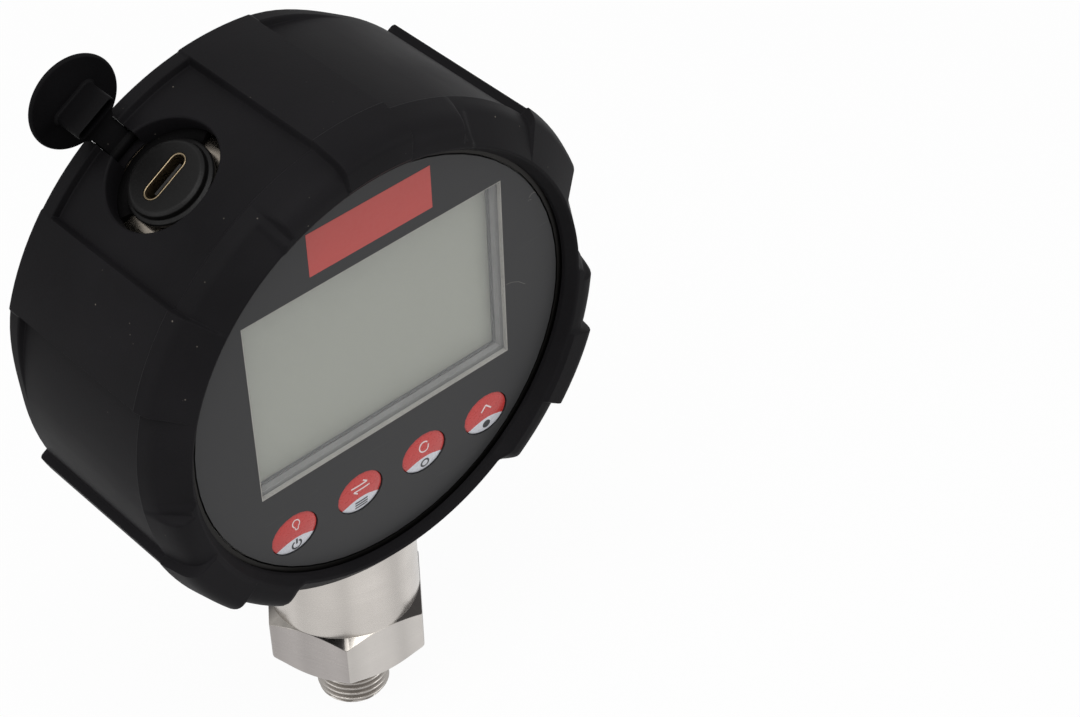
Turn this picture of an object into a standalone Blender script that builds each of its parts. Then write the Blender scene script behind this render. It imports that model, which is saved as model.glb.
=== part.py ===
"""Digital pressure gauge in a rubber boot, with a G1/4 process connection and a USB-C port.

Metres, +Z up. The origin is on the stem axis at the sealing face under the hexagon, and the dial faces -Y.
Most pieces are placed in one of three frames, each an empty:
  dial_frame   origin at the centre of the front sheet, X to the right, Y up, Z towards the viewer
  port_frame   on the dial axis at the depth of the USB port, X round the case, Y forward, Z outward
  plug_pivot   in the port frame, on the axis that the port plug swings about
A depth is measured backwards from the front of the front sheet, so it is minus Z in the dial frame.
"""

import math

import bpy
import bmesh
from mathutils import Matrix

GAP = 0.0003
LOOSE_FIT = 0.0002
OVERREACH = 0.002
SMOOTH_ANGLE = math.radians(29)
ROUND_DIAL = 60
ROUND_STEM = 40
ROUND_INSIDE = 40
ROUND_SMALL = 20
ROUND_TINY = 14

# Case, front to back
CASE_RADIUS = 0.0410
CASE_WALL = 0.0018
CASE_EDGE = 0.0010
DIAL_HEIGHT = 0.0736

# Boot
BOOT_WALL = 0.0039
BOOT_DEPTH = 0.0400
RIM_FORWARD = 0.0030
LIP_COVER = 0.0027
LIP_SLOPE = 0.0017
LIP_STEP = 0.0007
CORNER_INSET = 0.0011
CORNER_ROUNDING = 0.0014
CHAMFER_ROUNDING = 0.0003
SHOULDER_RISE = 0.0003
SHOULDER_DEPTH = 0.0038
CHAMFER_INSET = 0.0006
CHAMFER_DEPTH = 0.0015
CHAMFER_CREST_DROP = 0.0002
STEM_RELIEF_WALL = 0.0015
STEM_RELIEF_CORNER_DEPTH = 0.0003
STEM_RELIEF_CREST_DROP = 0.0007
STEM_RELIEF_CREST_INSET = 0.0007
PAD_RISE = 0.0015
PAD_FRONT_RISE = 0.0005
REAR_RIM_RISE = 0.0013
REAR_RIM_WIDTH = 0.0028
REAR_RIM_EDGE = 0.0004
REAR_ROUNDING = 0.0012
BACK_LIP_THICKNESS = 0.0016
BACK_LIP_WIDTH = 0.0048
PADS = ((90.0, 8.25), (30.0, 10.4), (150.0, 10.4), (210.0, 9.0), (330.0, 9.0))
PAD_RAMP = 0.7
CHAMFERS = ((30.0, 33.0), (150.0, 33.0))
CHAMFER_RAMP = 1.5
STEM_RELIEF = (270.0, 32.5)
STEM_RELIEF_RAMP = 3.0
REAR_RIM_HALF = 38.0
REAR_RIM_RAMP = 25.0
STATION_STEP = 6.0

# Front sheet, window and bezel
BEZEL_WIDTH = 0.0034
OVERLAY_THICKNESS = 0.0010
WINDOW_TO_SIDE = 0.01125
WINDOW_TO_TOP = 0.01415
WINDOW_TO_KEYS = 0.0070
WINDOW_LEDGE = 0.0006

# Front housing
HOUSING_PLATE = 0.0016
HOUSING_SKIRT = 0.0010
HOUSING_DEPTH = 0.0067
HOUSING_SEAL_WIDTH = 0.0010
HOUSING_SEAL_THICKNESS = 0.0004
SKIRT_NOTCH_SIDE = 0.0015
SKIRT_NOTCH_FRONT = 0.0010
BOSS_RADIUS = 0.0023
SCREW_FROM_EDGE = 0.0031
SCREW_ANGLES = (28.35, 151.65, 205.5, 334.5)
SCREW_HEAD_RADIUS = 0.0022
SCREW_HEAD_HEIGHT = 0.0014
SCREW_RADIUS = 0.0009
SCREW_REACH = 0.0030

# Keys
KEY_HEIGHT = 0.0077
KEY_SPACE = 0.00451
KEY_FROM_WINDOW_SIDE = 0.005485
KEY_TO_EDGE = 0.0137
KEY_DOME = 0.00035
KEY_CLEARANCE = 0.00015
KEY_FLANGE = 0.0008
KEY_FLANGE_THICKNESS = 0.0005
KEY_POST_RADIUS = 0.0016
KEY_TRAVEL = 0.0004
KEY_COUNT = 4
SWITCH_SIZE = 0.0056
SWITCH_HEIGHT = 0.0021
SWITCH_BUTTON_HEIGHT = 0.0004
SWITCH_BUTTON_RADIUS = 0.0015

# Display
LCD_MARGIN = 0.00125
LCD_THICKNESS = 0.0012
BACKLIGHT_THICKNESS = 0.0024
TRAY_WALL = 0.0008
TRAY_FLOOR = 0.0006

# Electronics
BOARD_THICKNESS = 0.0016
BOARD_TO_SENSOR = 0.0007
CHIP_SIZE = 0.0100
CHIP_THICKNESS = 0.0012
CHIP_PLACE = (-0.0100, 0.0050)
CONNECTOR_SIZE = (0.0080, 0.0050)
CONNECTOR_HEIGHT = 0.0035
CONNECTOR_ABOVE_CUT = 0.0075
BATTERY_SIZE = (0.0360, 0.0240)
BATTERY_THICKNESS = 0.0070
BATTERY_UP = 0.0060
CRADLE_WALL = 0.0013
CRADLE_FLOOR = 0.0016
CRADLE_SIDE = 0.0040

# USB port, on the radius at PORT_ANGLE
PORT_ANGLE = 120.0
PORT_HOLE_RADIUS = 0.0098
PORT_FLAT_WIDTH = 0.0155
PORT_FLAT_LENGTH = 0.0210
BUSH_FLANGE_RADIUS = 0.0075
BUSH_FLANGE_HEIGHT = 0.0007
BUSH_RADIUS = 0.0067
BUSH_HEIGHT = 0.0023
BUSH_EDGE = 0.0005
BUSH_TAIL_RADIUS = 0.0055
PORT_SEAL_THICKNESS = 0.0005
PORT_NUT_FLATS = 0.0134
PORT_NUT_HEIGHT = 0.0018
USB_WIDTH = 0.00894
USB_HEIGHT = 0.0032
USB_WALL = 0.0003
USB_PROUD = 0.00005
USB_BLADE_WIDTH = 0.0060
USB_BLADE_THICKNESS = 0.0005
USB_BLADE_OFFSET = 0.00008
USB_BLADE_RECESS = 0.0010
USB_INSERT_HEIGHT = 0.0024
PORT_BOARD_SIZE = (0.0150, 0.0110)
PORT_BOARD_THICKNESS = 0.0010
PORT_TAIL_LENGTH = 0.0042

# Port plug: the pivot is the bead that ends its strap
PLUG_RADIUS = 0.0080
PLUG_THICKNESS = 0.0009
PLUG_ROUNDING = 0.0005
PLUG_ARM = 0.01205
PIVOT_FROM_BACK = 0.00315
PLUG_UNDERSIDE = 0.00155
BEAD_RADIUS = 0.0010
BEAD_LENGTH = 0.0080
STRAP_WIDTH = 0.0044
STRAP_THICKNESS = 0.0011
STUB_LENGTH = 0.0054
STUB_WIDTH = 0.0080
STUB_CLEARANCE = 0.00015
STUB_ROOT_WALL = 0.00045
STUB_TIP_WALL = 0.00022
STUB_SECTIONS = 6

# Process connection, upwards from the sealing face
THREAD_RADIUS = 0.0065785
THREAD_LENGTH = 0.0145
THREAD_LEAD_IN = 0.0010
RELIEF_DEPTH = 0.0009
RELIEF_WIDTH = 0.0016
SEAL_GROOVE_WIDTH = 0.0018
SEAL_GROOVE_DEPTH = 0.0003
HEX_FLATS = 0.0270
HEX_HEIGHT = 0.0109
HEX_TURN = 232.0
HEX_TOP_CHAMFER = 0.0013
HEX_BOTTOM_CHAMFER = 0.0013
BODY_UNDERCUT = 0.00005
NECK_RADIUS = 0.0100
BODY_TO_CASE = 0.0009
SPOTFACE_DEPTH = 0.0016
STEM_SEAL_THICKNESS = 0.0006
SPIGOT_RADIUS = 0.0068
STEM_BOSS_RADIUS = 0.0115
STEM_BOSS_HEIGHT = 0.0029
STEM_NUT_FLATS = 0.0180
STEM_NUT_HEIGHT = 0.0035
SPIGOT_ABOVE_NUT = 0.0012
STEM_HOLE_CLEARANCE = 0.0007
PRESSURE_BORE_RADIUS = 0.0025
CELL_RADIUS = 0.0049
CELL_HEIGHT = 0.0059
CELL_NECK_RADIUS = 0.0024
CELL_SEAL_WIDTH = 0.0017
CELL_SEAL_THICKNESS = 0.0010
RETAINER_THICKNESS = 0.0018
CELL_BELOW_SPIGOT_TOP = 0.0145
SENSOR_BOARD_RADIUS = 0.0062
SENSOR_BOARD_THICKNESS = 0.0010
CABLE_RADIUS = 0.0008

# Sizes that follow from the ones above
BOOT_RADIUS = CASE_RADIUS + GAP + BOOT_WALL
BOOT_INNER_RADIUS = CASE_RADIUS + GAP
BOOT_BACK = BOOT_DEPTH - RIM_FORWARD
CASE_BACK = BOOT_BACK - BACK_LIP_THICKNESS - GAP
CASE_INNER_RADIUS = CASE_RADIUS - CASE_WALL
CASE_INNER_BACK = CASE_BACK - CASE_WALL
CASE_FRONT = OVERLAY_THICKNESS + GAP
STEM_DEPTH = BOOT_DEPTH / 2 - RIM_FORWARD
LIP_RADIUS = CASE_RADIUS - LIP_COVER
BEZEL_INNER_RADIUS = CASE_RADIUS - BEZEL_WIDTH
OVERLAY_RADIUS = BEZEL_INNER_RADIUS - GAP
HOUSING_RADIUS = CASE_INNER_RADIUS - GAP
HOUSING_BACK = CASE_FRONT + HOUSING_DEPTH
PLATE_BACK = CASE_FRONT + HOUSING_PLATE
KEY_DOWN = OVERLAY_RADIUS - KEY_TO_EDGE
WINDOW_TOP = OVERLAY_RADIUS - WINDOW_TO_TOP
WINDOW_BOTTOM = WINDOW_TO_KEYS + KEY_HEIGHT / 2 - KEY_DOWN
WINDOW_WIDTH = 2 * (OVERLAY_RADIUS - WINDOW_TO_SIDE)
WINDOW_HEIGHT = WINDOW_TOP - WINDOW_BOTTOM
WINDOW_UP = (WINDOW_TOP + WINDOW_BOTTOM) / 2
KEY_PITCH = 2 * (WINDOW_WIDTH / 2 - KEY_FROM_WINDOW_SIDE) / (KEY_COUNT - 1)
KEY_WIDTH = KEY_PITCH - KEY_SPACE
SCREW_RING = HOUSING_RADIUS - SCREW_FROM_EDGE
LCD_FRONT = PLATE_BACK + GAP
LCD_BACK = LCD_FRONT + LCD_THICKNESS
BACKLIGHT_FRONT = LCD_BACK + GAP
BACKLIGHT_BACK = BACKLIGHT_FRONT + BACKLIGHT_THICKNESS
LCD_WIDTH = WINDOW_WIDTH - 2 * WINDOW_LEDGE + 2 * LCD_MARGIN
LCD_HEIGHT = WINDOW_HEIGHT - 2 * WINDOW_LEDGE + 2 * LCD_MARGIN
TRAY_BACK = BACKLIGHT_BACK + GAP + TRAY_FLOOR
BOARD_FRONT = max(HOUSING_BACK, TRAY_BACK) + GAP
BOARD_BACK = BOARD_FRONT + BOARD_THICKNESS
SWITCH_BACK = BOARD_FRONT - GAP
SWITCH_TOP = SWITCH_BACK - SWITCH_HEIGHT - SWITCH_BUTTON_HEIGHT
KEY_POST_BACK = SWITCH_TOP - KEY_TRAVEL - LOOSE_FIT / 2
KEY_FLANGE_FRONT = CASE_FRONT
CRADLE_BACK = CASE_INNER_BACK - GAP
BATTERY_BACK = CRADLE_BACK - CRADLE_FLOOR - GAP
PORT_FLAT_RADIUS = math.sqrt(CASE_RADIUS ** 2 - (PORT_FLAT_WIDTH / 2) ** 2)
PORT_SEAL_BASE = PORT_FLAT_RADIUS + GAP
BUSH_BASE = PORT_SEAL_BASE + PORT_SEAL_THICKNESS + GAP
BUSH_FACE = BUSH_BASE + BUSH_HEIGHT
BUSH_TAIL_END = CASE_INNER_RADIUS - PORT_TAIL_LENGTH + CASE_WALL / 2
USB_FACE = BUSH_FACE + USB_PROUD
PORT_BOARD_OUTER = BUSH_TAIL_END - GAP
PORT_BOARD_INNER = PORT_BOARD_OUTER - PORT_BOARD_THICKNESS
PIVOT_RADIUS = BUSH_FACE + GAP - PLUG_UNDERSIDE
PIVOT_DEPTH = BOOT_BACK - PIVOT_FROM_BACK
PORT_DEPTH = PIVOT_DEPTH - PLUG_ARM
SPOTFACE_LEVEL = -(CASE_RADIUS - SPOTFACE_DEPTH)
NECK_TOP = SPOTFACE_LEVEL - STEM_SEAL_THICKNESS - 2 * GAP
BODY_TOP = -(CASE_RADIUS + BODY_TO_CASE)
STEM_BOSS_TOP = -(CASE_INNER_RADIUS - STEM_BOSS_HEIGHT + LOOSE_FIT)
STEM_NUT_BASE = STEM_BOSS_TOP + GAP
SPIGOT_TOP = STEM_NUT_BASE + STEM_NUT_HEIGHT + SPIGOT_ABOVE_NUT
BOARD_CUT = SPIGOT_TOP + GAP + SENSOR_BOARD_THICKNESS + BOARD_TO_SENSOR
CONNECTOR_PLACE = (0.0, BOARD_CUT + CONNECTOR_ABOVE_CUT)
CAVITY_RADIUS = CELL_RADIUS + GAP
CAVITY_FLOOR = SPIGOT_TOP - CELL_BELOW_SPIGOT_TOP
CELL_BASE = CAVITY_FLOOR + CELL_SEAL_THICKNESS + 2 * GAP
CELL_TOP = CELL_BASE + CELL_HEIGHT
BODY_RADIUS = HEX_FLATS / 2 - BODY_UNDERCUT
HEX_CORNER_RADIUS = HEX_FLATS / 2 / math.cos(math.pi / 6)


# Materials

def material(name, colour, roughness, metallic=0.0):
    """A Principled material with one colour."""
    made = bpy.data.materials.new(name)
    made.use_nodes = True
    shader = made.node_tree.nodes["Principled BSDF"]
    shader.inputs["Base Color"].default_value = (*colour, 1.0)
    shader.inputs["Roughness"].default_value = roughness
    shader.inputs["Metallic"].default_value = metallic
    made.diffuse_color = (*colour, 1.0)
    return made


def make_materials():
    """The materials that the pieces share."""
    return {
        "rubber": material("boot_rubber", (0.022, 0.021, 0.024), 0.62),
        "steel": material("stainless_steel", (0.56, 0.53, 0.49), 0.30, 1.0),
        "sheet": material("front_sheet", (0.045, 0.045, 0.047), 0.25),
        "lens": material("clear_window", (0.80, 0.82, 0.80), 0.05),
        "lcd": material("display_glass", (0.28, 0.30, 0.26), 0.20),
        "light": material("backlight", (0.75, 0.77, 0.72), 0.40),
        "black": material("black_plastic", (0.018, 0.018, 0.019), 0.45),
        "grey": material("grey_plastic", (0.30, 0.31, 0.30), 0.50),
        "key": material("key_gloss", (0.52, 0.045, 0.045), 0.25),
        "gold": material("plated_shell", (0.62, 0.52, 0.36), 0.28, 1.0),
        "board": material("circuit_board", (0.03, 0.16, 0.06), 0.45),
        "seal": material("seal_rubber", (0.015, 0.015, 0.015), 0.60),
        "cell": material("battery_wrap", (0.10, 0.17, 0.32), 0.40),
        "cable": material("cable_jacket", (0.05, 0.05, 0.05), 0.50),
        "brass": material("nut_brass", (0.60, 0.44, 0.18), 0.35, 1.0),
    }


# Frames

def empty(name, matrix, parent=None):
    """An empty at a place and turn given in its parent's coordinates."""
    made = bpy.data.objects.new(name, None)
    bpy.context.collection.objects.link(made)
    made.parent = parent
    made.matrix_basis = matrix
    return made


def make_frames():
    """The dial, port and pivot frames."""
    dial_matrix = Matrix.Translation((0, -STEM_DEPTH, DIAL_HEIGHT)) @ Matrix.Rotation(math.pi / 2, 4, "X")
    dial = empty("dial_frame", dial_matrix)
    angle = math.radians(PORT_ANGLE)
    port_matrix = Matrix((
        (-math.sin(angle), 0, math.cos(angle), 0),
        (math.cos(angle), 0, math.sin(angle), 0),
        (0, 1, 0, -PORT_DEPTH),
        (0, 0, 0, 1),
    ))
    port = empty("port_frame", port_matrix, dial)
    pivot = empty("plug_pivot", Matrix.Translation((0, -PLUG_ARM, PIVOT_RADIUS)), port)
    return {"dial": dial, "port": port, "pivot": pivot, "stem": None}


# Outlines, as lists of (x, y)

def circle(radius, count):
    """Points round a circle about the origin."""
    turn = 2 * math.pi / count
    return [(radius * math.cos(k * turn), radius * math.sin(k * turn)) for k in range(count)]


def ellipse(width, height, count):
    """Points round an ellipse about the origin."""
    turn = 2 * math.pi / count
    return [(width / 2 * math.cos(k * turn), height / 2 * math.sin(k * turn)) for k in range(count)]


def rectangle(width, height):
    """A rectangle about the origin."""
    x, y = width / 2, height / 2
    return [(-x, -y), (x, -y), (x, y), (-x, y)]


def rounded_rectangle(width, height, radius, steps=5):
    """A rectangle about the origin with round corners."""
    points = []
    for side_x, side_y, start in ((1, 1, 0), (-1, 1, 90), (-1, -1, 180), (1, -1, 270)):
        for k in range(steps + 1):
            angle = math.radians(start + 90 * k / steps)
            x = side_x * (width / 2 - radius) + radius * math.cos(angle)
            y = side_y * (height / 2 - radius) + radius * math.sin(angle)
            points.append((x, y))
    return points


def stadium(width, low, high, steps=8):
    """An upright-ended slot shape: x across the whole width, y from low to high, with round ends."""
    radius = (high - low) / 2
    middle = (high + low) / 2
    reach = width / 2 - radius
    points = []
    for side, start in ((1, -90), (-1, 90)):
        for k in range(steps + 1):
            angle = math.radians(start + 180 * k / steps)
            points.append((side * reach + radius * math.cos(angle), middle + radius * math.sin(angle)))
    return points


def hexagon(flats, turn=0.0):
    """A hexagon of the given width across its flats."""
    corner = flats / 2 / math.cos(math.pi / 6)
    angles = [math.radians(turn + 60 * k) for k in range(6)]
    return [(corner * math.cos(a), corner * math.sin(a)) for a in angles]


# Solids, built in the coordinates of their frame

def finish_object(name, bm, look, frame, matrix):
    """Makes an object of a closed bmesh, seated in its frame."""
    bmesh.ops.recalc_face_normals(bm, faces=bm.faces)
    mesh = bpy.data.meshes.new(name)
    bm.to_mesh(mesh)
    bm.free()
    if look is not None:
        mesh.materials.append(look)
    mesh.shade_smooth()
    mesh.set_sharp_from_angle(angle=SMOOTH_ANGLE)
    made = bpy.data.objects.new(name, mesh)
    bpy.context.collection.objects.link(made)
    made.parent = frame
    made.matrix_basis = matrix
    return made


def loft(name, loops, look, frame, matrix=Matrix(), ring=False):
    """A solid through equal closed loops of points. A ring joins its last loop to its first."""
    bm = bmesh.new()
    rows = [[bm.verts.new(point) for point in loop] for loop in loops]
    following = rows[1:] + rows[:1] if ring else rows[1:]
    for near, far in zip(rows, following):
        count = len(near)
        for k in range(count):
            after = (k + 1) % count
            bm.faces.new((near[k], near[after], far[after], far[k]))
    if not ring:
        bm.faces.new(rows[0])
        bm.faces.new(rows[-1])
    return finish_object(name, bm, look, frame, matrix)


def prism(name, outline, low, high, look, frame, matrix=Matrix()):
    """An outline extruded along Z."""
    loops = [[(x, y, z) for x, y in outline] for z in (low, high)]
    return loft(name, loops, look, frame, matrix)


def turned(name, profile, look, frame, segments=ROUND_SMALL, matrix=Matrix()):
    """A profile of (radius, z) points turned about Z. Points on the axis close it there."""
    bm = bmesh.new()
    rows = []
    for radius, z in profile:
        if radius == 0:
            rows.append([bm.verts.new((0, 0, z))])
        else:
            rows.append([bm.verts.new((x, y, z)) for x, y in circle(radius, segments)])
    for near, far in zip(rows, rows[1:] + rows[:1]):
        for k in range(segments):
            after = (k + 1) % segments
            if len(near) > 1 and len(far) > 1:
                bm.faces.new((near[k], near[after], far[after], far[k]))
            elif len(far) > 1:
                bm.faces.new((near[0], far[after], far[k]))
            elif len(near) > 1:
                bm.faces.new((near[k], near[after], far[0]))
    return finish_object(name, bm, look, frame, matrix)


def combine(target, helper, operation):
    """Cuts, joins or intersects a piece with a hidden helper."""
    helper.hide_render = True
    helper.display_type = "WIRE"
    step = target.modifiers.new(helper.name, "BOOLEAN")
    step.object = helper
    step.operation = operation
    step.solver = "EXACT"


def cut(target, helper):
    """Takes a hidden helper away from a piece."""
    combine(target, helper, "DIFFERENCE")


def join(target, helper):
    """Adds a hidden helper to a piece."""
    combine(target, helper, "UNION")


def at(x, y, z=0.0):
    """A move within a frame."""
    return Matrix.Translation((x, y, z))


def backwards(profile):
    """A turned profile given as (radius, depth), in the dial frame's Z."""
    return [(radius, -depth) for radius, depth in profile]


# Boot

def zone(angle, centre, half, ramp):
    """1 within half of a centre angle, falling to 0 over the ramp beyond it. Degrees."""
    away = abs((angle - centre + 180) % 360 - 180)
    return min(max((half + ramp - away) / ramp, 0.0), 1.0)


def mixed(first, second, share):
    """A point between two points."""
    return tuple(a + (b - a) * share for a, b in zip(first, second))


def stepped(first, second, distance):
    """The point a given way from one point towards another."""
    return mixed(first, second, distance / math.dist(first, second))


def boot_section(angle):
    """The boot's cross-section at one angle, as (radius, depth) points round it."""
    pad = max(zone(angle, centre, half, PAD_RAMP) for centre, half in PADS)
    chamfer = max(zone(angle, centre, half, CHAMFER_RAMP) for centre, half in CHAMFERS)
    relief = zone(angle, *STEM_RELIEF, STEM_RELIEF_RAMP)
    raised = zone(angle, PORT_ANGLE, REAR_RIM_HALF, REAR_RIM_RAMP)

    crest_radius = LIP_RADIUS + LIP_SLOPE
    relief_radius = BOOT_INNER_RADIUS + STEM_RELIEF_WALL
    crest = (crest_radius, -RIM_FORWARD)
    crest = mixed(crest, (crest_radius, CHAMFER_CREST_DROP - RIM_FORWARD), chamfer)
    low_crest = (crest_radius - STEM_RELIEF_CREST_INSET, STEM_RELIEF_CREST_DROP - RIM_FORWARD)
    crest = mixed(crest, low_crest, relief)
    corner = (BOOT_RADIUS - CORNER_INSET, -RIM_FORWARD)
    corner = mixed(corner, (BOOT_RADIUS - CHAMFER_INSET, CHAMFER_DEPTH), chamfer)
    corner = mixed(corner, (relief_radius - SHOULDER_RISE, STEM_RELIEF_CORNER_DEPTH), relief)
    flank = BOOT_RADIUS + (relief_radius - BOOT_RADIUS) * relief + PAD_RISE * pad
    front_rise = PAD_FRONT_RISE * pad * (1 - chamfer)
    corner = (corner[0] + PAD_RISE * pad, corner[1] - front_rise)
    foot = mixed(crest, corner, 0.12)
    foot = (foot[0], foot[1] - front_rise * 0.88)
    shoulder = (flank + SHOULDER_RISE, SHOULDER_DEPTH)
    rounding = CORNER_ROUNDING + (CHAMFER_ROUNDING - CORNER_ROUNDING) * max(chamfer, relief)
    rim = flank + REAR_RIM_RISE * raised * (1 - pad)
    rear_edge = REAR_ROUNDING + (REAR_RIM_EDGE - REAR_ROUNDING) * max(raised, pad)
    rim_front = BOOT_BACK - REAR_RIM_WIDTH
    lip_radius = CASE_RADIUS - BACK_LIP_WIDTH
    lip_front = BOOT_BACK - BACK_LIP_THICKNESS
    return (
        (LIP_RADIUS, -GAP),
        (LIP_RADIUS + LIP_SLOPE / 8, -GAP - LIP_STEP),
        (crest[0] - LIP_SLOPE / 4, crest[1] + LIP_STEP / 4),
        crest,
        foot,
        stepped(corner, foot, rounding),
        stepped(corner, shoulder, rounding),
        shoulder,
        (flank, SHOULDER_DEPTH + SHOULDER_RISE),
        (flank, rim_front - SHOULDER_RISE),
        (rim, rim_front),
        (rim, BOOT_BACK - rear_edge),
        (rim - rear_edge, BOOT_BACK),
        (lip_radius, BOOT_BACK),
        (lip_radius, lip_front),
        (BOOT_INNER_RADIUS, lip_front),
        (BOOT_INNER_RADIUS, -GAP),
    )


def boot_stations():
    """The angles of the boot's sections: even steps, and both ends of every ramp."""
    angles = {STATION_STEP * k for k in range(round(360 / STATION_STEP))}
    edges = [(*pad, PAD_RAMP) for pad in PADS]
    edges += [(*chamfer, CHAMFER_RAMP) for chamfer in CHAMFERS]
    edges.append((*STEM_RELIEF, STEM_RELIEF_RAMP))
    edges.append((PORT_ANGLE, REAR_RIM_HALF, REAR_RIM_RAMP))
    for centre, half, ramp in edges:
        for offset in (half, half + ramp):
            for side in (-1, 1):
                angles.add((centre + side * offset) % 360)
    return sorted(angles)


def make_boot(looks, frames):
    """The rubber boot, with its holes for the port, the plug's strap and the stem."""
    loops = []
    for angle in boot_stations():
        turn = math.radians(angle)
        section = boot_section(angle)
        loops.append([(r * math.cos(turn), r * math.sin(turn), -depth) for r, depth in section])
    boot = loft("protective_boot", loops, looks["rubber"], frames["dial"], ring=True)

    inside = CASE_RADIUS - OVERREACH
    outside = BOOT_RADIUS + 2 * OVERREACH
    port_hole = prism("cut_port_hole", circle(PORT_HOLE_RADIUS, ROUND_STEM), inside, outside, None, frames["port"])
    cut(boot, port_hole)

    notch_front = PLUG_RADIUS
    notch_back = BOOT_BACK - PORT_DEPTH + OVERREACH
    notch = prism("cut_strap_notch", rectangle(STRAP_WIDTH + 2 * GAP, notch_back - notch_front), CASE_RADIUS,
                  outside, None, frames["port"], at(0, -(notch_front + notch_back) / 2))
    cut(boot, notch)

    pocket_width = BEAD_LENGTH + 2 * GAP
    pocket_reach = 2 * (BEAD_RADIUS + GAP)
    pocket_top = PIVOT_RADIUS + BEAD_RADIUS + GAP
    pocket = prism("cut_bead_pocket", rectangle(pocket_width, pocket_reach), inside, pocket_top,
                   None, frames["port"], at(0, -PLUG_ARM))
    cut(boot, pocket)

    hole_radius = BODY_RADIUS + STEM_HOLE_CLEARANCE
    hole = prism("cut_stem_hole", circle(hole_radius, ROUND_STEM), DIAL_HEIGHT - outside,
                 DIAL_HEIGHT - inside + 2 * OVERREACH, None, None)
    cut(boot, hole)
    return boot


# Case

def make_case(looks, frames):
    """The steel case, with a flat and a hole for the port and a spotface and a hole for the stem."""
    profile = backwards((
        (0, CASE_BACK),
        (CASE_RADIUS - CASE_EDGE, CASE_BACK),
        (CASE_RADIUS, CASE_BACK - CASE_EDGE),
        (CASE_RADIUS, CASE_FRONT),
        (CASE_INNER_RADIUS, CASE_FRONT),
        (CASE_INNER_RADIUS, CASE_INNER_BACK),
        (0, CASE_INNER_BACK),
    ))
    case = turned("case_cup", profile, looks["steel"], frames["dial"], ROUND_DIAL)

    stem_boss = turned("form_stem_boss", (
        (0, DIAL_HEIGHT - CASE_INNER_RADIUS - LOOSE_FIT),
        (STEM_BOSS_RADIUS, DIAL_HEIGHT - CASE_INNER_RADIUS - LOOSE_FIT),
        (STEM_BOSS_RADIUS, DIAL_HEIGHT + STEM_BOSS_TOP),
        (0, DIAL_HEIGHT + STEM_BOSS_TOP),
    ), None, None, ROUND_STEM)
    join(case, stem_boss)

    flat = prism("cut_port_flat", rectangle(PORT_FLAT_WIDTH + 2 * OVERREACH, PORT_FLAT_LENGTH), PORT_FLAT_RADIUS,
                 CASE_RADIUS + OVERREACH, None, frames["port"])
    cut(case, flat)
    port_hole = prism("cut_case_port", circle(BUSH_TAIL_RADIUS + GAP, ROUND_SMALL), CASE_INNER_RADIUS - OVERREACH,
                      CASE_RADIUS + OVERREACH, None, frames["port"])
    cut(case, port_hole)

    below = DIAL_HEIGHT - CASE_RADIUS - OVERREACH
    spotface = prism("cut_spotface", circle(NECK_RADIUS + 2 * GAP, ROUND_STEM), below,
                     DIAL_HEIGHT + SPOTFACE_LEVEL, None, None)
    cut(case, spotface)
    stem_hole = prism("cut_case_stem", circle(SPIGOT_RADIUS + GAP, ROUND_SMALL), below,
                      DIAL_HEIGHT + STEM_BOSS_TOP + OVERREACH, None, None)
    cut(case, stem_hole)
    return case


def make_bezel(looks, frames):
    """The thin steel ring between the front sheet and the boot's lip."""
    profile = backwards((
        (BEZEL_INNER_RADIUS, 0),
        (CASE_RADIUS, 0),
        (CASE_RADIUS, OVERLAY_THICKNESS),
        (BEZEL_INNER_RADIUS, OVERLAY_THICKNESS),
    ))
    return turned("bezel_ring", profile, looks["steel"], frames["dial"], ROUND_DIAL)


# Front sheet, window and housing

def key_places():
    """The centres of the keys in the dial frame."""
    middle = (KEY_COUNT - 1) / 2
    return [((k - middle) * KEY_PITCH, -KEY_DOWN) for k in range(KEY_COUNT)]


def cut_key_openings(target, name, margin, low, high, frame):
    """Oval openings in a plate, one for each key."""
    outline = ellipse(KEY_WIDTH + 2 * margin, KEY_HEIGHT + 2 * margin, ROUND_SMALL)
    for number, (x, y) in enumerate(key_places(), 1):
        cut(target, prism(f"{name}_{number}", outline, low, high, None, frame, at(x, y)))


def make_overlay(looks, frames):
    """The printed front sheet."""
    dial = frames["dial"]
    sheet = prism("front_overlay", circle(OVERLAY_RADIUS, ROUND_DIAL), -OVERLAY_THICKNESS, 0, looks["sheet"], dial)
    window = prism("cut_window", rectangle(WINDOW_WIDTH, WINDOW_HEIGHT), -OVERLAY_THICKNESS - OVERREACH, OVERREACH,
                   None, dial, at(0, WINDOW_UP))
    cut(sheet, window)
    cut_key_openings(sheet, "cut_sheet_key", KEY_CLEARANCE, -OVERLAY_THICKNESS - OVERREACH, OVERREACH, dial)
    return sheet


def make_lens(looks, frames):
    """The clear pane in the front sheet's window."""
    outline = rectangle(WINDOW_WIDTH - 2 * LOOSE_FIT, WINDOW_HEIGHT - 2 * LOOSE_FIT)
    return prism("window_lens", outline, -OVERLAY_THICKNESS, 0, looks["lens"], frames["dial"], at(0, WINDOW_UP))


def screw_places():
    """The centres of the board screws in the dial frame."""
    turns = [math.radians(angle) for angle in SCREW_ANGLES]
    return [(SCREW_RING * math.cos(turn), SCREW_RING * math.sin(turn)) for turn in turns]


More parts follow.
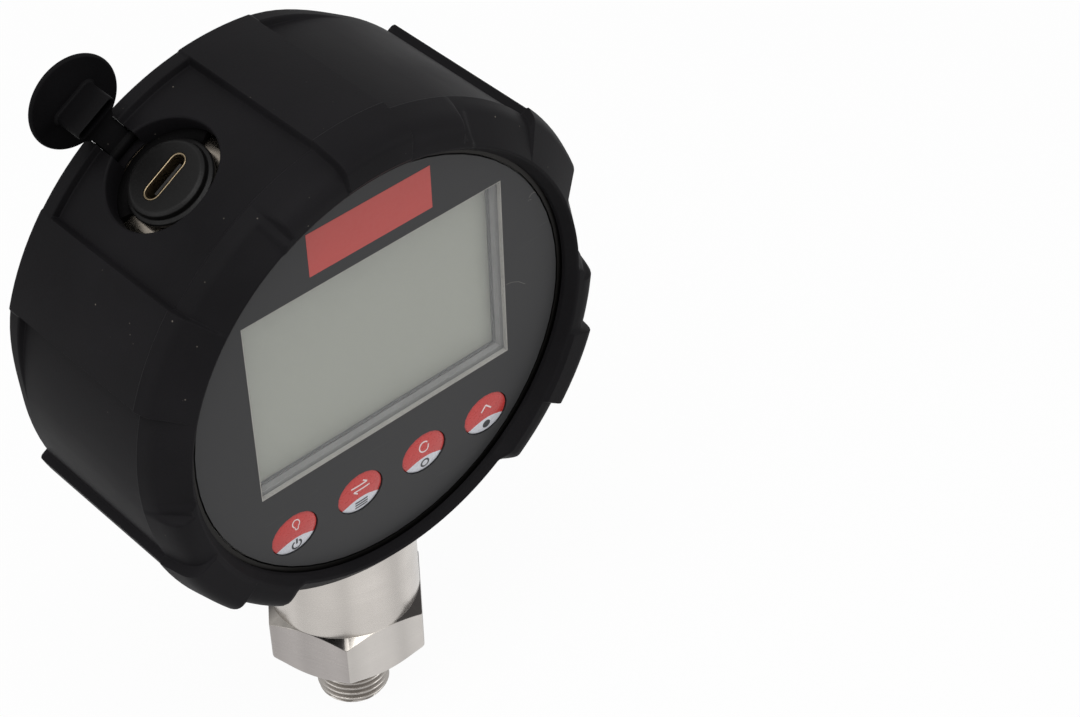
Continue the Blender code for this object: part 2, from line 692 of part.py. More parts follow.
def make_housing(looks, frames):
    """The moulded front housing: a plate with openings, a skirt and four screw bosses."""
    dial = frames["dial"]
    rabbet = HOUSING_RADIUS - HOUSING_SEAL_WIDTH
    seal_back = CASE_FRONT + HOUSING_SEAL_THICKNESS + GAP
    skirt = HOUSING_RADIUS - HOUSING_SKIRT
    profile = backwards((
        (0, CASE_FRONT),
        (rabbet, CASE_FRONT),
        (rabbet, seal_back),
        (HOUSING_RADIUS, seal_back),
        (HOUSING_RADIUS, HOUSING_BACK),
        (skirt, HOUSING_BACK),
        (skirt, PLATE_BACK),
        (0, PLATE_BACK),
    ))
    housing = turned("front_housing", profile, looks["black"], dial, ROUND_INSIDE)
    opening = rectangle(WINDOW_WIDTH - 2 * WINDOW_LEDGE, WINDOW_HEIGHT - 2 * WINDOW_LEDGE)
    cut(housing, prism("cut_housing_window", opening, -PLATE_BACK - OVERREACH, OVERREACH, None, dial,
                       at(0, WINDOW_UP)))
    cut_key_openings(housing, "cut_housing_key", KEY_FLANGE + GAP, -PLATE_BACK - OVERREACH, OVERREACH, dial)
    notch_low = -HOUSING_RADIUS - OVERREACH
    notch_high = -skirt + 3 * OVERREACH
    notch_width = 2 * (STEM_BOSS_RADIUS + SKIRT_NOTCH_SIDE)
    notch_front = STEM_DEPTH - STEM_BOSS_RADIUS - SKIRT_NOTCH_FRONT
    notch = prism("cut_skirt_notch", rectangle(notch_width, notch_high - notch_low), -HOUSING_BACK - OVERREACH,
                  -notch_front, None, dial, at(0, (notch_low + notch_high) / 2))
    cut(housing, notch)
    for number, (x, y) in enumerate(screw_places(), 1):
        boss = prism(f"form_boss_{number}", circle(BOSS_RADIUS, ROUND_SMALL), -HOUSING_BACK,
                     -PLATE_BACK + HOUSING_PLATE / 2, None, dial, at(x, y))
        join(housing, boss)
        pilot = prism(f"cut_pilot_{number}", circle(SCREW_RADIUS + GAP, ROUND_TINY),
                      -HOUSING_BACK - OVERREACH, -HOUSING_BACK + SCREW_REACH + GAP, None, dial, at(x, y))
        cut(housing, pilot)
    return housing


def make_housing_seal(looks, frames):
    """The gasket in the front housing's rabbet, under the bezel."""
    inner = HOUSING_RADIUS - HOUSING_SEAL_WIDTH + GAP
    profile = backwards((
        (inner, CASE_FRONT),
        (HOUSING_RADIUS, CASE_FRONT),
        (HOUSING_RADIUS, CASE_FRONT + HOUSING_SEAL_THICKNESS),
        (inner, CASE_FRONT + HOUSING_SEAL_THICKNESS),
    ))
    return turned("housing_seal", profile, looks["seal"], frames["dial"], ROUND_INSIDE)


# Keys and switches

def make_key(number, place, looks, frames):
    """One domed key: an oval cap, a flange behind the front sheet and a post to its switch."""
    outline_steps = ROUND_SMALL

    def oval(share, margin, z):
        width = (KEY_WIDTH + 2 * margin) * share
        height = (KEY_HEIGHT + 2 * margin) * share
        return [(x, y, z) for x, y in ellipse(width, height, outline_steps)]

    cap_edge = -OVERLAY_THICKNESS / 4
    loops = [
        oval(1.0, KEY_FLANGE, -KEY_FLANGE_FRONT - KEY_FLANGE_THICKNESS),
        oval(1.0, KEY_FLANGE, -KEY_FLANGE_FRONT),
        oval(1.0, 0, -KEY_FLANGE_FRONT),
        oval(1.0, 0, cap_edge),
        oval(0.94, 0, cap_edge + KEY_DOME * 0.6),
        oval(0.70, 0, cap_edge + KEY_DOME * 1.3),
        oval(0.35, 0, cap_edge + KEY_DOME * 1.65),
    ]
    x, y = place
    key = loft(f"key_{number}", loops, looks["key"], frames["dial"], at(x, y))
    post = prism(f"form_key_post_{number}", circle(KEY_POST_RADIUS, ROUND_SMALL), -KEY_POST_BACK,
                 -KEY_FLANGE_FRONT - KEY_FLANGE_THICKNESS / 2, None, frames["dial"], at(x, y))
    join(key, post)
    return key


def make_switch(number, place, looks, frames):
    """The tact switch behind one key."""
    x, y = place
    dial = frames["dial"]
    body_front = -(SWITCH_BACK - SWITCH_HEIGHT)
    switch = prism(f"tact_switch_{number}", rectangle(SWITCH_SIZE, SWITCH_SIZE), -SWITCH_BACK, body_front,
                   looks["grey"], dial, at(x, y))
    button = prism(f"form_switch_button_{number}", circle(SWITCH_BUTTON_RADIUS, ROUND_SMALL),
                   body_front - SWITCH_HEIGHT / 2, -SWITCH_TOP, None, dial, at(x, y))
    join(switch, button)
    return switch


# Display

def make_display(looks, frames):
    """The display glass, its backlight and the tray that holds both."""
    dial = frames["dial"]
    place = at(0, WINDOW_UP)
    prism("lcd_glass", rectangle(LCD_WIDTH, LCD_HEIGHT), -LCD_BACK, -LCD_FRONT, looks["lcd"], dial, place)
    prism("backlight_panel", rectangle(LCD_WIDTH, LCD_HEIGHT), -BACKLIGHT_BACK, -BACKLIGHT_FRONT, looks["light"],
          dial, place)
    pocket_width = LCD_WIDTH + 2 * GAP
    pocket_height = LCD_HEIGHT + 2 * GAP
    tray = prism("display_frame", rectangle(pocket_width + 2 * TRAY_WALL, pocket_height + 2 * TRAY_WALL),
                 -TRAY_BACK, -LCD_FRONT, looks["grey"], dial, place)
    pocket = prism("cut_tray_pocket", rectangle(pocket_width, pocket_height), -TRAY_BACK + TRAY_FLOOR,
                   -LCD_FRONT + OVERREACH, None, dial, place)
    cut(tray, pocket)


# Electronics

def make_board(looks, frames):
    """The main board, cut straight below the sensor and beside the port, with its chip and connector."""
    dial = frames["dial"]
    board = prism("main_board", circle(HOUSING_RADIUS - GAP, ROUND_INSIDE), -BOARD_BACK, -BOARD_FRONT,
                  looks["board"], dial)
    straight = prism("cut_board_straight", rectangle(2 * CASE_RADIUS, BOARD_CUT + CASE_RADIUS),
                     -BOARD_BACK - OVERREACH, -BOARD_FRONT + OVERREACH, None, dial,
                     at(0, (BOARD_CUT - CASE_RADIUS) / 2))
    cut(board, straight)
    beside_port = prism("cut_board_port", rectangle(2 * CASE_RADIUS, 2 * CASE_RADIUS), PORT_BOARD_INNER - GAP,
                        CASE_RADIUS, None, frames["port"])
    cut(board, beside_port)
    for number, (x, y) in enumerate(screw_places(), 1):
        hole = prism(f"cut_board_hole_{number}", circle(SCREW_RADIUS + GAP, ROUND_TINY),
                     -BOARD_BACK - OVERREACH, -BOARD_FRONT + OVERREACH, None, dial, at(x, y))
        cut(board, hole)
    on_board = -BOARD_BACK - GAP
    prism("processor_chip", rectangle(CHIP_SIZE, CHIP_SIZE), on_board - CHIP_THICKNESS, on_board, looks["black"],
          dial, at(*CHIP_PLACE))
    prism("board_connector", rectangle(*CONNECTOR_SIZE), on_board - CONNECTOR_HEIGHT, on_board, looks["grey"],
          dial, at(*CONNECTOR_PLACE))


def make_board_screw(number, place, looks, frames):
    """One pan-head screw that holds the board to a boss."""
    head_front = -BOARD_BACK - GAP
    head_back = head_front - SCREW_HEAD_HEIGHT
    tip = -HOUSING_BACK + SCREW_REACH
    profile = (
        (0, head_back),
        (SCREW_HEAD_RADIUS * 0.8, head_back),
        (SCREW_HEAD_RADIUS, head_back + SCREW_HEAD_HEIGHT / 3),
        (SCREW_HEAD_RADIUS, head_front),
        (SCREW_RADIUS, head_front),
        (SCREW_RADIUS, tip),
        (0, tip),
    )
    return turned(f"board_screw_{number}", profile, looks["steel"], frames["dial"], ROUND_TINY, at(*place))


def make_battery(looks, frames):
    """The rechargeable cell and the cradle that holds it to the case back."""
    dial = frames["dial"]
    place = at(0, BATTERY_UP)
    width, height = BATTERY_SIZE
    cell_outline = rounded_rectangle(width, height, BATTERY_THICKNESS / 4)
    prism("battery_cell", cell_outline, -BATTERY_BACK, -BATTERY_BACK + BATTERY_THICKNESS, looks["cell"], dial, place)
    pocket_outline = rectangle(width + 2 * GAP, height + 2 * GAP)
    outline = rectangle(width + 2 * (GAP + CRADLE_WALL), height + 2 * (GAP + CRADLE_WALL))
    floor = -CRADLE_BACK + CRADLE_FLOOR
    cradle = prism("battery_cradle", outline, -CRADLE_BACK, floor + CRADLE_SIDE, looks["grey"], dial, place)
    pocket = prism("cut_cradle_pocket", pocket_outline, floor, floor + CRADLE_SIDE + OVERREACH, None, dial, place)
    cut(cradle, pocket)


# USB port

def usb_outline(inset):
    """The receptacle's outline, drawn in by an inset."""
    half = USB_HEIGHT / 2 - inset
    return stadium(USB_WIDTH - 2 * inset, -half, half)


def make_port(looks, frames):
    """The bush, gasket, nut, receptacle and small board of the USB port."""
    port = frames["port"]
    flange_top = BUSH_BASE + BUSH_FLANGE_HEIGHT
    bush = turned("port_bush", (
        (0, BUSH_TAIL_END),
        (BUSH_TAIL_RADIUS, BUSH_TAIL_END),
        (BUSH_TAIL_RADIUS, BUSH_BASE),
        (BUSH_FLANGE_RADIUS, BUSH_BASE),
        (BUSH_FLANGE_RADIUS, flange_top),
        (BUSH_RADIUS, flange_top + (BUSH_FLANGE_RADIUS - BUSH_RADIUS) / 2),
        (BUSH_RADIUS, BUSH_FACE - BUSH_EDGE),
        (BUSH_RADIUS - BUSH_EDGE, BUSH_FACE),
        (0, BUSH_FACE),
    ), looks["black"], port, ROUND_STEM)
    slot = prism("cut_bush_slot", usb_outline(-LOOSE_FIT), BUSH_TAIL_END - OVERREACH, BUSH_FACE + OVERREACH, None,
                 port)
    cut(bush, slot)

    turned("port_seal", (
        (BUSH_TAIL_RADIUS + GAP, PORT_SEAL_BASE),
        (BUSH_FLANGE_RADIUS - GAP, PORT_SEAL_BASE),
        (BUSH_FLANGE_RADIUS - GAP, PORT_SEAL_BASE + PORT_SEAL_THICKNESS),
        (BUSH_TAIL_RADIUS + GAP, PORT_SEAL_BASE + PORT_SEAL_THICKNESS),
    ), looks["seal"], port)

    nut_low = BUSH_TAIL_END + GAP
    nut = prism("port_nut", hexagon(PORT_NUT_FLATS), nut_low, nut_low + PORT_NUT_HEIGHT, looks["brass"], port)
    cut(nut, prism("cut_port_nut", circle(BUSH_TAIL_RADIUS + GAP, ROUND_SMALL), nut_low - OVERREACH,
                   nut_low + PORT_NUT_HEIGHT + OVERREACH, None, port))

    shell = prism("usb_shell", usb_outline(0), BUSH_TAIL_END, USB_FACE, looks["gold"], port)
    cut(shell, prism("cut_usb_shell", usb_outline(USB_WALL), BUSH_TAIL_END - OVERREACH, USB_FACE + OVERREACH, None,
                     port))

    insert_top = BUSH_TAIL_END + USB_INSERT_HEIGHT
    insert = prism("usb_insert", usb_outline(USB_WALL + LOOSE_FIT / 2), BUSH_TAIL_END, insert_top, looks["black"],
                   port)
    blade = prism("form_usb_blade", rectangle(USB_BLADE_WIDTH, USB_BLADE_THICKNESS), insert_top - OVERREACH / 2,
                  USB_FACE - USB_BLADE_RECESS, None, port, at(0, USB_BLADE_OFFSET))
    join(insert, blade)

    prism("port_board", rectangle(*PORT_BOARD_SIZE), PORT_BOARD_INNER, PORT_BOARD_OUTER, looks["board"], port)


# Port plug, in the pivot frame: Z outward and Y forward while it hangs open

def stub_section(depth):
    """The outer and inner slot shapes of the plug's hollow stub, a given way from the pivot's plane.

    The front face follows an arc about the pivot, so the stub clears the receptacle as it swings in.
    """
    slot_half = USB_HEIGHT / 2 - USB_WALL
    swing = PLUG_ARM + slot_half - STUB_CLEARANCE
    rear = PLUG_ARM - slot_half + STUB_CLEARANCE
    front = math.sqrt(swing ** 2 - depth ** 2)
    share = (depth + PLUG_UNDERSIDE) / STUB_LENGTH
    wall = STUB_ROOT_WALL + (STUB_TIP_WALL - STUB_ROOT_WALL) * share
    outer = stadium(STUB_WIDTH, rear, front)
    inner = stadium(STUB_WIDTH - 2 * wall, rear + wall, front - wall)
    return outer, inner


def make_plug(looks, frames):
    """The rubber plug: a disc, a hollow stub, a strap and the bead that it swings on."""
    pivot = frames["pivot"]
    lay_flat = Matrix.Rotation(math.pi / 2, 4, "X")
    disc_place = at(0, -PLUG_UNDERSIDE, PLUG_ARM) @ lay_flat
    disc = turned("port_plug", (
        (0, 0),
        (PLUG_RADIUS - PLUG_ROUNDING, 0),
        (PLUG_RADIUS - PLUG_ROUNDING / 4, PLUG_ROUNDING / 3),
        (PLUG_RADIUS, PLUG_THICKNESS / 2),
        (PLUG_RADIUS - PLUG_ROUNDING / 4, PLUG_THICKNESS - PLUG_ROUNDING / 3),
        (PLUG_RADIUS - PLUG_ROUNDING, PLUG_THICKNESS),
        (0, PLUG_THICKNESS),
    ), looks["rubber"], pivot, ROUND_STEM, disc_place)
    return disc


def add_plug_forms(disc, frames):
    """Joins the stub, strap and bead to the plug's disc."""
    pivot = frames["pivot"]
    root = -PLUG_UNDERSIDE - PLUG_THICKNESS / 2
    tip = STUB_LENGTH - PLUG_UNDERSIDE
    floor = -PLUG_UNDERSIDE + STUB_ROOT_WALL
    outer_loops = []
    inner_loops = []
    for k in range(STUB_SECTIONS + 1):
        y = root + (tip - root) * k / STUB_SECTIONS
        outer, _ = stub_section(y)
        outer_loops.append([(x, y, z) for x, z in outer])
    for k in range(STUB_SECTIONS + 1):
        y = floor + (tip + OVERREACH / 4 - floor) * k / STUB_SECTIONS
        _, inner = stub_section(y)
        inner_loops.append([(x, y, z) for x, z in inner])
    join(disc, loft("form_plug_stub", outer_loops, None, pivot))
    cut(disc, loft("cut_plug_stub", inner_loops, None, pivot))

    centre_line = (
        (0, 0),
        (-0.55 * PLUG_UNDERSIDE, 0.18 * PLUG_ARM),
        (-PLUG_UNDERSIDE - PLUG_THICKNESS / 2, PLUG_ARM - PLUG_RADIUS + PLUG_THICKNESS),
    )
    half = STRAP_THICKNESS / 2
    low = [(y + half, z - half) for y, z in centre_line]
    high = [(y - half, z) for y, z in centre_line]
    outline = low + high[::-1]
    loops = [[(x, y, z) for y, z in outline] for x in (-STRAP_WIDTH / 2, STRAP_WIDTH / 2)]
    join(disc, loft("form_plug_strap", loops, None, pivot))

    bead = prism("form_plug_bead", circle(BEAD_RADIUS, ROUND_SMALL), -BEAD_LENGTH / 2, BEAD_LENGTH / 2, None, pivot,
                 Matrix.Rotation(math.pi / 2, 4, "Y"))
    join(disc, bead)


# Process connection and what it holds

def make_process_connection(looks):
    """The steel body, hexagon and thread, bored through, with a spigot that holds the sensor."""
    bevel = math.tan(math.radians(30))
    corner = HEX_CORNER_RADIUS + LOOSE_FIT
    relief_radius = THREAD_RADIUS - RELIEF_DEPTH
    groove_radius = relief_radius + SEAL_GROOVE_WIDTH
    bottom_radius = corner - HEX_BOTTOM_CHAMFER / bevel
    profile = (
        (PRESSURE_BORE_RADIUS, -THREAD_LENGTH),
        (THREAD_RADIUS - THREAD_LEAD_IN, -THREAD_LENGTH),
        (THREAD_RADIUS, -THREAD_LENGTH + THREAD_LEAD_IN),
        (THREAD_RADIUS, -RELIEF_WIDTH - RELIEF_DEPTH / 2),
        (relief_radius, -RELIEF_WIDTH),
        (relief_radius, SEAL_GROOVE_DEPTH),
        (groove_radius, SEAL_GROOVE_DEPTH),
        (groove_radius, 0),
        (bottom_radius, 0),
        (corner, HEX_BOTTOM_CHAMFER),
        (corner, HEX_HEIGHT - HEX_TOP_CHAMFER),
        (BODY_RADIUS, HEX_HEIGHT),
        (BODY_RADIUS, DIAL_HEIGHT + BODY_TOP - CASE_EDGE / 2),
        (BODY_RADIUS - CASE_EDGE / 2, DIAL_HEIGHT + BODY_TOP),
        (NECK_RADIUS, DIAL_HEIGHT + BODY_TOP),
        (NECK_RADIUS, DIAL_HEIGHT + NECK_TOP),
        (SPIGOT_RADIUS, DIAL_HEIGHT + NECK_TOP),
        (SPIGOT_RADIUS, DIAL_HEIGHT + SPIGOT_TOP),
        (CAVITY_RADIUS, DIAL_HEIGHT + SPIGOT_TOP),
        (CAVITY_RADIUS, DIAL_HEIGHT + CAVITY_FLOOR),
        (PRESSURE_BORE_RADIUS, DIAL_HEIGHT + CAVITY_FLOOR),
    )
    body = turned("process_connection", profile, looks["steel"], None, ROUND_STEM)

    low, high = -LOOSE_FIT * 2, HEX_HEIGHT + LOOSE_FIT
    around = prism("cut_hexagon", circle(2 * HEX_CORNER_RADIUS, ROUND_SMALL), low, high, None, None)
    kept = prism("form_hexagon", hexagon(HEX_FLATS, HEX_TURN), low - OVERREACH, high + OVERREACH, None, None)
    cut(around, kept)
    cut(body, around)
    return body


def make_stem_parts(looks):
    """The gasket and nut of the process connection, and the sensor in its spigot."""
    spotface = DIAL_HEIGHT + SPOTFACE_LEVEL
    turned("stem_seal", (
        (SPIGOT_RADIUS + GAP, spotface - GAP - STEM_SEAL_THICKNESS),
        (NECK_RADIUS, spotface - GAP - STEM_SEAL_THICKNESS),
        (NECK_RADIUS, spotface - GAP),
        (SPIGOT_RADIUS + GAP, spotface - GAP),
    ), looks["seal"], None, ROUND_SMALL)

    nut_low = DIAL_HEIGHT + STEM_NUT_BASE
    nut = prism("stem_nut", hexagon(STEM_NUT_FLATS), nut_low, nut_low + STEM_NUT_HEIGHT, looks["brass"], None)
    cut(nut, prism("cut_stem_nut", circle(SPIGOT_RADIUS + GAP, ROUND_SMALL), nut_low - OVERREACH,
                   nut_low + STEM_NUT_HEIGHT + OVERREACH, None, None))

    seal_low = DIAL_HEIGHT + CAVITY_FLOOR + GAP
    turned("sensor_seal", (
        (CELL_RADIUS - CELL_SEAL_WIDTH, seal_low),
        (CELL_RADIUS, seal_low),
        (CELL_RADIUS, seal_low + CELL_SEAL_THICKNESS),
        (CELL_RADIUS - CELL_SEAL_WIDTH, seal_low + CELL_SEAL_THICKNESS),
    ), looks["seal"], None)

    cell_low = DIAL_HEIGHT + CELL_BASE
    cell_high = DIAL_HEIGHT + CELL_TOP
    neck_high = DIAL_HEIGHT + SPIGOT_TOP
    turned("sensor_cell", (
        (0, cell_low),
        (CELL_RADIUS, cell_low),
        (CELL_RADIUS, cell_high),
        (CELL_NECK_RADIUS, cell_high),
        (CELL_NECK_RADIUS, neck_high),
        (0, neck_high),
    ), looks["steel"], None)

    turned("sensor_retainer", (
        (CELL_NECK_RADIUS + GAP, cell_high + GAP),
        (CELL_RADIUS, cell_high + GAP),
        (CELL_RADIUS, cell_high + GAP + RETAINER_THICKNESS),
        (CELL_NECK_RADIUS + GAP, cell_high + GAP + RETAINER_THICKNESS),
    ), looks["brass"], None)

    board_low = neck_high + GAP
    prism("sensor_board", circle(SENSOR_BOARD_RADIUS, ROUND_SMALL), board_low, board_low + SENSOR_BOARD_THICKNESS,
          looks["board"], None)
    return board_low + SENSOR_BOARD_THICKNESS


def make_sensor_cable(looks, board_top):
    """The lead from the sensor's board to the connector on the main board."""
    connector_back = BOARD_BACK + GAP + CONNECTOR_HEIGHT
    end_y = connector_back + GAP - STEM_DEPTH
    end_z = DIAL_HEIGHT + CONNECTOR_PLACE[1]
    start = (0.0, 0.0, board_top + GAP)
    rise = (end_z - start[2]) * 0.75
    controls = (start, (0.0, 0.0, start[2] + rise), (0.0, end_y + rise, end_z), (0.0, end_y, end_z))
    points = []
    steps = 8
    for k in range(steps + 1):
        t = k / steps
        weights = ((1 - t) ** 3, 3 * t * (1 - t) ** 2, 3 * t ** 2 * (1 - t), t ** 3)
        points.append([sum(w * c[axis] for w, c in zip(weights, controls)) for axis in range(3)])
    curve = bpy.data.curves.new("sensor_cable", "CURVE")
    curve.dimensions = "3D"
    curve.bevel_depth = CABLE_RADIUS
    curve.bevel_resolution = 2
    curve.use_fill_caps = True
    spline = curve.splines.new("POLY")
    spline.points.add(len(points) - 1)
    for point, place in zip(spline.points, points):
        point.co = (*place, 1.0)
    curve.materials.append(looks["cable"])
    made = bpy.data.objects.new("sensor_cable", curve)
    bpy.context.collection.objects.link(made)
    return made


def main():
    """Clears the scene and models the gauge."""
    for old in list(bpy.data.objects):
        bpy.data.objects.remove(old)
    looks = make_materials()
    frames = make_frames()
    make_boot(looks, frames)
    make_case(looks, frames)
    make_bezel(looks, frames)
    make_overlay(looks, frames)
    make_lens(looks, frames)
    make_housing(looks, frames)
    make_housing_seal(looks, frames)
    for number, place in enumerate(key_places(), 1):
        make_key(number, place, looks, frames)
        make_switch(number, place, looks, frames)
    make_display(looks, frames)
    make_board(looks, frames)
    for number, place in enumerate(screw_places(), 1):
        make_board_screw(number, place, looks, frames)
    make_battery(looks, frames)
    make_port(looks, frames)
    add_plug_forms(make_plug(looks, frames), frames)
    make_process_connection(looks)
    make_sensor_cable(looks, make_stem_parts(looks))


main()
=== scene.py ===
"""Looks for the digital pressure gauge: rubber boot, printed front, turned steel and the USB port.

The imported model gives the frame, in metres, with +Z up and the dial facing -Y. Shapes are made in three
places: DIAL (X right, Y up, Z to the viewer), PORT (X round the case, Y forward, Z outward) and PIVOT, the
plug's bead.
"""

import math

import bpy
import bmesh
from mathutils import Euler, Matrix, Vector


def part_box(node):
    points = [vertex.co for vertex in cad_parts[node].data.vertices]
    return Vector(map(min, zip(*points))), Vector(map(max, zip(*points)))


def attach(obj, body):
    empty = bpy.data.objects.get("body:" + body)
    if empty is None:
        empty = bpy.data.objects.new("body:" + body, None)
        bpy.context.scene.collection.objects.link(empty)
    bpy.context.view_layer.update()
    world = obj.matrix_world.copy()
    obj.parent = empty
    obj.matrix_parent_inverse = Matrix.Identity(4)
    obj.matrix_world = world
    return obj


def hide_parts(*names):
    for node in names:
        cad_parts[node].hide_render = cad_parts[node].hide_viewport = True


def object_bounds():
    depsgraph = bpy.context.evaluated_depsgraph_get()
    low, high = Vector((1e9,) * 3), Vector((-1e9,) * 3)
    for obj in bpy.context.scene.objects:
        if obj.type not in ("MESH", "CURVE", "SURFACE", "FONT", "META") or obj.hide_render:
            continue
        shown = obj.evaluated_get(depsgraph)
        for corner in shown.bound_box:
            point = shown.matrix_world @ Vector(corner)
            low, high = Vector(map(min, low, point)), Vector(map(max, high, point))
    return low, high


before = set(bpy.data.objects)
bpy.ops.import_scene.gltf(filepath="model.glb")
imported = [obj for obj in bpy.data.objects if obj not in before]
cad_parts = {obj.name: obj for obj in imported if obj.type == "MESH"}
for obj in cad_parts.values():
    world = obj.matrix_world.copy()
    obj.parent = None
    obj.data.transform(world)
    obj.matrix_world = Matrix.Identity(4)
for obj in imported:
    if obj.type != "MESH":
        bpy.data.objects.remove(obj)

CAD_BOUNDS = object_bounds()
BODY = "gauge"

# Camera, read from the photo's perspective
CAMERA_PLACE = (-0.199876, -0.283693, 0.369142)
CAMERA_TURN = (48.377, 1.417, -42.399)
CAMERA_LENS = 93.02
SENSOR_WIDTH = 36.0

# Case and boot sizes, as the model has them
MM = 0.001
CASE_RADIUS = 0.0410
CASE_WALL = 1.8 * MM
DIAL_HEIGHT = 0.0736
STEM_DEPTH = 0.0170
GAP = 0.0003
BOOT_RADIUS = 0.0452
BOOT_INNER = CASE_RADIUS + GAP
BOOT_FRONT = -0.0030
BOOT_BACK = 0.0370
LIP_RADIUS = 0.0383
CREST_RADIUS = LIP_RADIUS + 1.7 * MM
BACK_LIP_WIDTH = 4.8 * MM
BACK_LIP_THICKNESS = 1.6 * MM
REAR_RIM_WIDTH = 2.8 * MM
REAR_RIM_RISE = 1.3 * MM
PAD_RISE = 0.0015
FLANK_STEPS = 9
STEM_HOLE_RADIUS = 14.2 * MM
PORT_ANGLE = 120.0
PORT_DEPTH = 0.0218
PORT_HOLE = 0.0098
PLUG_ARM = 0.01205
PIVOT_RADIUS = 0.042411

# Zones round the boot, in degrees: centre, half width and, where it is their own, the ramp beside them
PADS = ((90.0, 8.25), (30.0, 10.4), (150.0, 10.4), (210.0, 9.0), (330.0, 9.0))
PAD_RAMP = 0.7
CHAMFERS = (30.0, 150.0)
CHAMFER_HALF = 31.2
CHAMFER_SLANT = 3.6
CHAMFER_RAMP = 1.6
STEM_RELIEF = (270.0, 31.8, 4.6)
DEEP_CHAMFER = (7.5, 9.5, 3.0)
RAISED_RIM = (PORT_ANGLE, 38.0, 25.0)

# Places
DIAL = Matrix.Translation((0, -STEM_DEPTH, DIAL_HEIGHT)) @ Matrix.Rotation(math.pi / 2, 4, "X")
PORT_TURN = math.radians(PORT_ANGLE)
PORT = DIAL @ Matrix((
    (-math.sin(PORT_TURN), 0, math.cos(PORT_TURN), 0),
    (math.cos(PORT_TURN), 0, math.sin(PORT_TURN), 0),
    (0, 1, 0, -PORT_DEPTH),
    (0, 0, 0, 1),
))
PIVOT = PORT @ Matrix.Translation((0, -PLUG_ARM, PIVOT_RADIUS))
WORLD = Matrix()


# Mesh helpers

def link(name, mesh):
    """A new object for a mesh."""
    made = bpy.data.objects.new(name, mesh)
    bpy.context.collection.objects.link(made)
    return made


def from_bmesh(name, bm, place, look=None, sharp=34):
    """An object of a bmesh, moved into place, smooth but for its sharp edges."""
    bmesh.ops.recalc_face_normals(bm, faces=bm.faces)
    bm.transform(place)
    mesh = bpy.data.meshes.new(name)
    bm.to_mesh(mesh)
    bm.free()
    if look:
        mesh.materials.append(look)
    mesh.shade_smooth()
    mesh.set_sharp_from_angle(angle=math.radians(sharp))
    return link(name, mesh)


def loft(name, loops, place, look=None, ring=False, sharp=34):
    """A closed solid through equal loops of points."""
    bm = bmesh.new()
    rows = [[bm.verts.new(point) for point in loop] for loop in loops]
    following = rows[1:] + rows[:1] if ring else rows[1:]
    for near, far in zip(rows, following):
        count = len(near)
        for k in range(count):
            after = (k + 1) % count
            bm.faces.new((near[k], near[after], far[after], far[k]))
    if not ring:
        bm.faces.new(rows[0])
        bm.faces.new(rows[-1])
    return from_bmesh(name, bm, place, look, sharp)


def prism(name, outline, low, high, place, look=None):
    """An outline extruded along Z."""
    return loft(name, [[(x, y, z) for x, y in outline] for z in (low, high)], place, look)


def circle(radius, count, x=0.0, y=0.0):
    """Points round a circle."""
    turn = 2 * math.pi / count
    return [(x + radius * math.cos(k * turn), y + radius * math.sin(k * turn)) for k in range(count)]


def rectangle(low_x, high_x, low_y, high_y):
    """The corners of a rectangle."""
    return [(low_x, low_y), (high_x, low_y), (high_x, high_y), (low_x, high_y)]


def stadium(width, low, high, steps=10):
    """A slot shape with round ends: x across the width, y from low to high."""
    radius = (high - low) / 2
    middle = (high + low) / 2
    points = []
    for side, start in ((1, -90), (-1, 90)):
        for k in range(steps + 1):
            angle = math.radians(start + 180 * k / steps)
            x = side * (width / 2 - radius) + radius * math.cos(angle)
            points.append((x, middle + radius * math.sin(angle)))
    return points


def curve(start, corner, end, steps):
    """Points on a soft bend from start to end, drawn towards a corner."""
    shares = [k / steps for k in range(steps + 1)]
    return [tuple(start * (1 - s) ** 2 + corner * 2 * s * (1 - s) + end * s ** 2) for s in shares]


def filleted(corners, steps=3):
    """A closed outline of (x, y, radius) corners with each corner rounded by an arc."""
    points = []
    count = len(corners)
    for k in range(count):
        here = Vector(corners[k][:2])
        back = Vector(corners[k - 1][:2]) - here
        ahead = Vector(corners[(k + 1) % count][:2]) - here
        bend = math.pi - back.angle(ahead, math.pi)
        radius = corners[k][2]
        if radius == 0:
            points.append(tuple(here))
            continue
        if bend < 0.02:
            points += [tuple(here + ahead.normalized() * 1e-6 * j) for j in range(steps + 1)]
            continue
        reach = min(radius * math.tan(bend / 2), 0.45 * back.length, 0.45 * ahead.length)
        start = here + back.normalized() * reach
        end = here + ahead.normalized() * reach
        points += curve(start, here, end, steps)
    return points


def turned(name, corners, place, look=None, count=96, steps=3, sharp=34):
    """A closed profile of (radius, z, fillet) corners turned about Z."""
    profile = filleted(corners, steps)
    loops = []
    for x, y in circle(1.0, count):
        loops.append([(max(r, 1e-7) * x, max(r, 1e-7) * y, z) for r, z in profile])
    made = loft(name, loops, place, look, ring=True, sharp=sharp)
    tidy(made)
    return made


def tidy(thing, distance=2e-6):
    """Merges the points of a mesh that lie on each other."""
    bm = bmesh.new()
    bm.from_mesh(thing.data)
    bmesh.ops.remove_doubles(bm, verts=bm.verts, dist=distance)
    bmesh.ops.dissolve_degenerate(bm, edges=bm.edges, dist=distance)
    bm.to_mesh(thing.data)
    bm.free()


def carve(target, tools, operation="DIFFERENCE", sharp=34):
    """Cuts or joins solids into a piece for good, and shades it anew."""
    for tool in tools:
        step = target.modifiers.new(tool.name, "BOOLEAN")
        step.object = tool
        step.operation = operation
        step.solver = "EXACT"
    bpy.context.view_layer.update()
    shaped = target.evaluated_get(bpy.context.evaluated_depsgraph_get())
    mesh = bpy.data.meshes.new_from_object(shaped)
    target.modifiers.clear()
    target.data = mesh
    for tool in tools:
        bpy.data.objects.remove(tool)
    tidy(target)
    target.data.shade_smooth()
    target.data.set_sharp_from_angle(angle=math.radians(sharp))


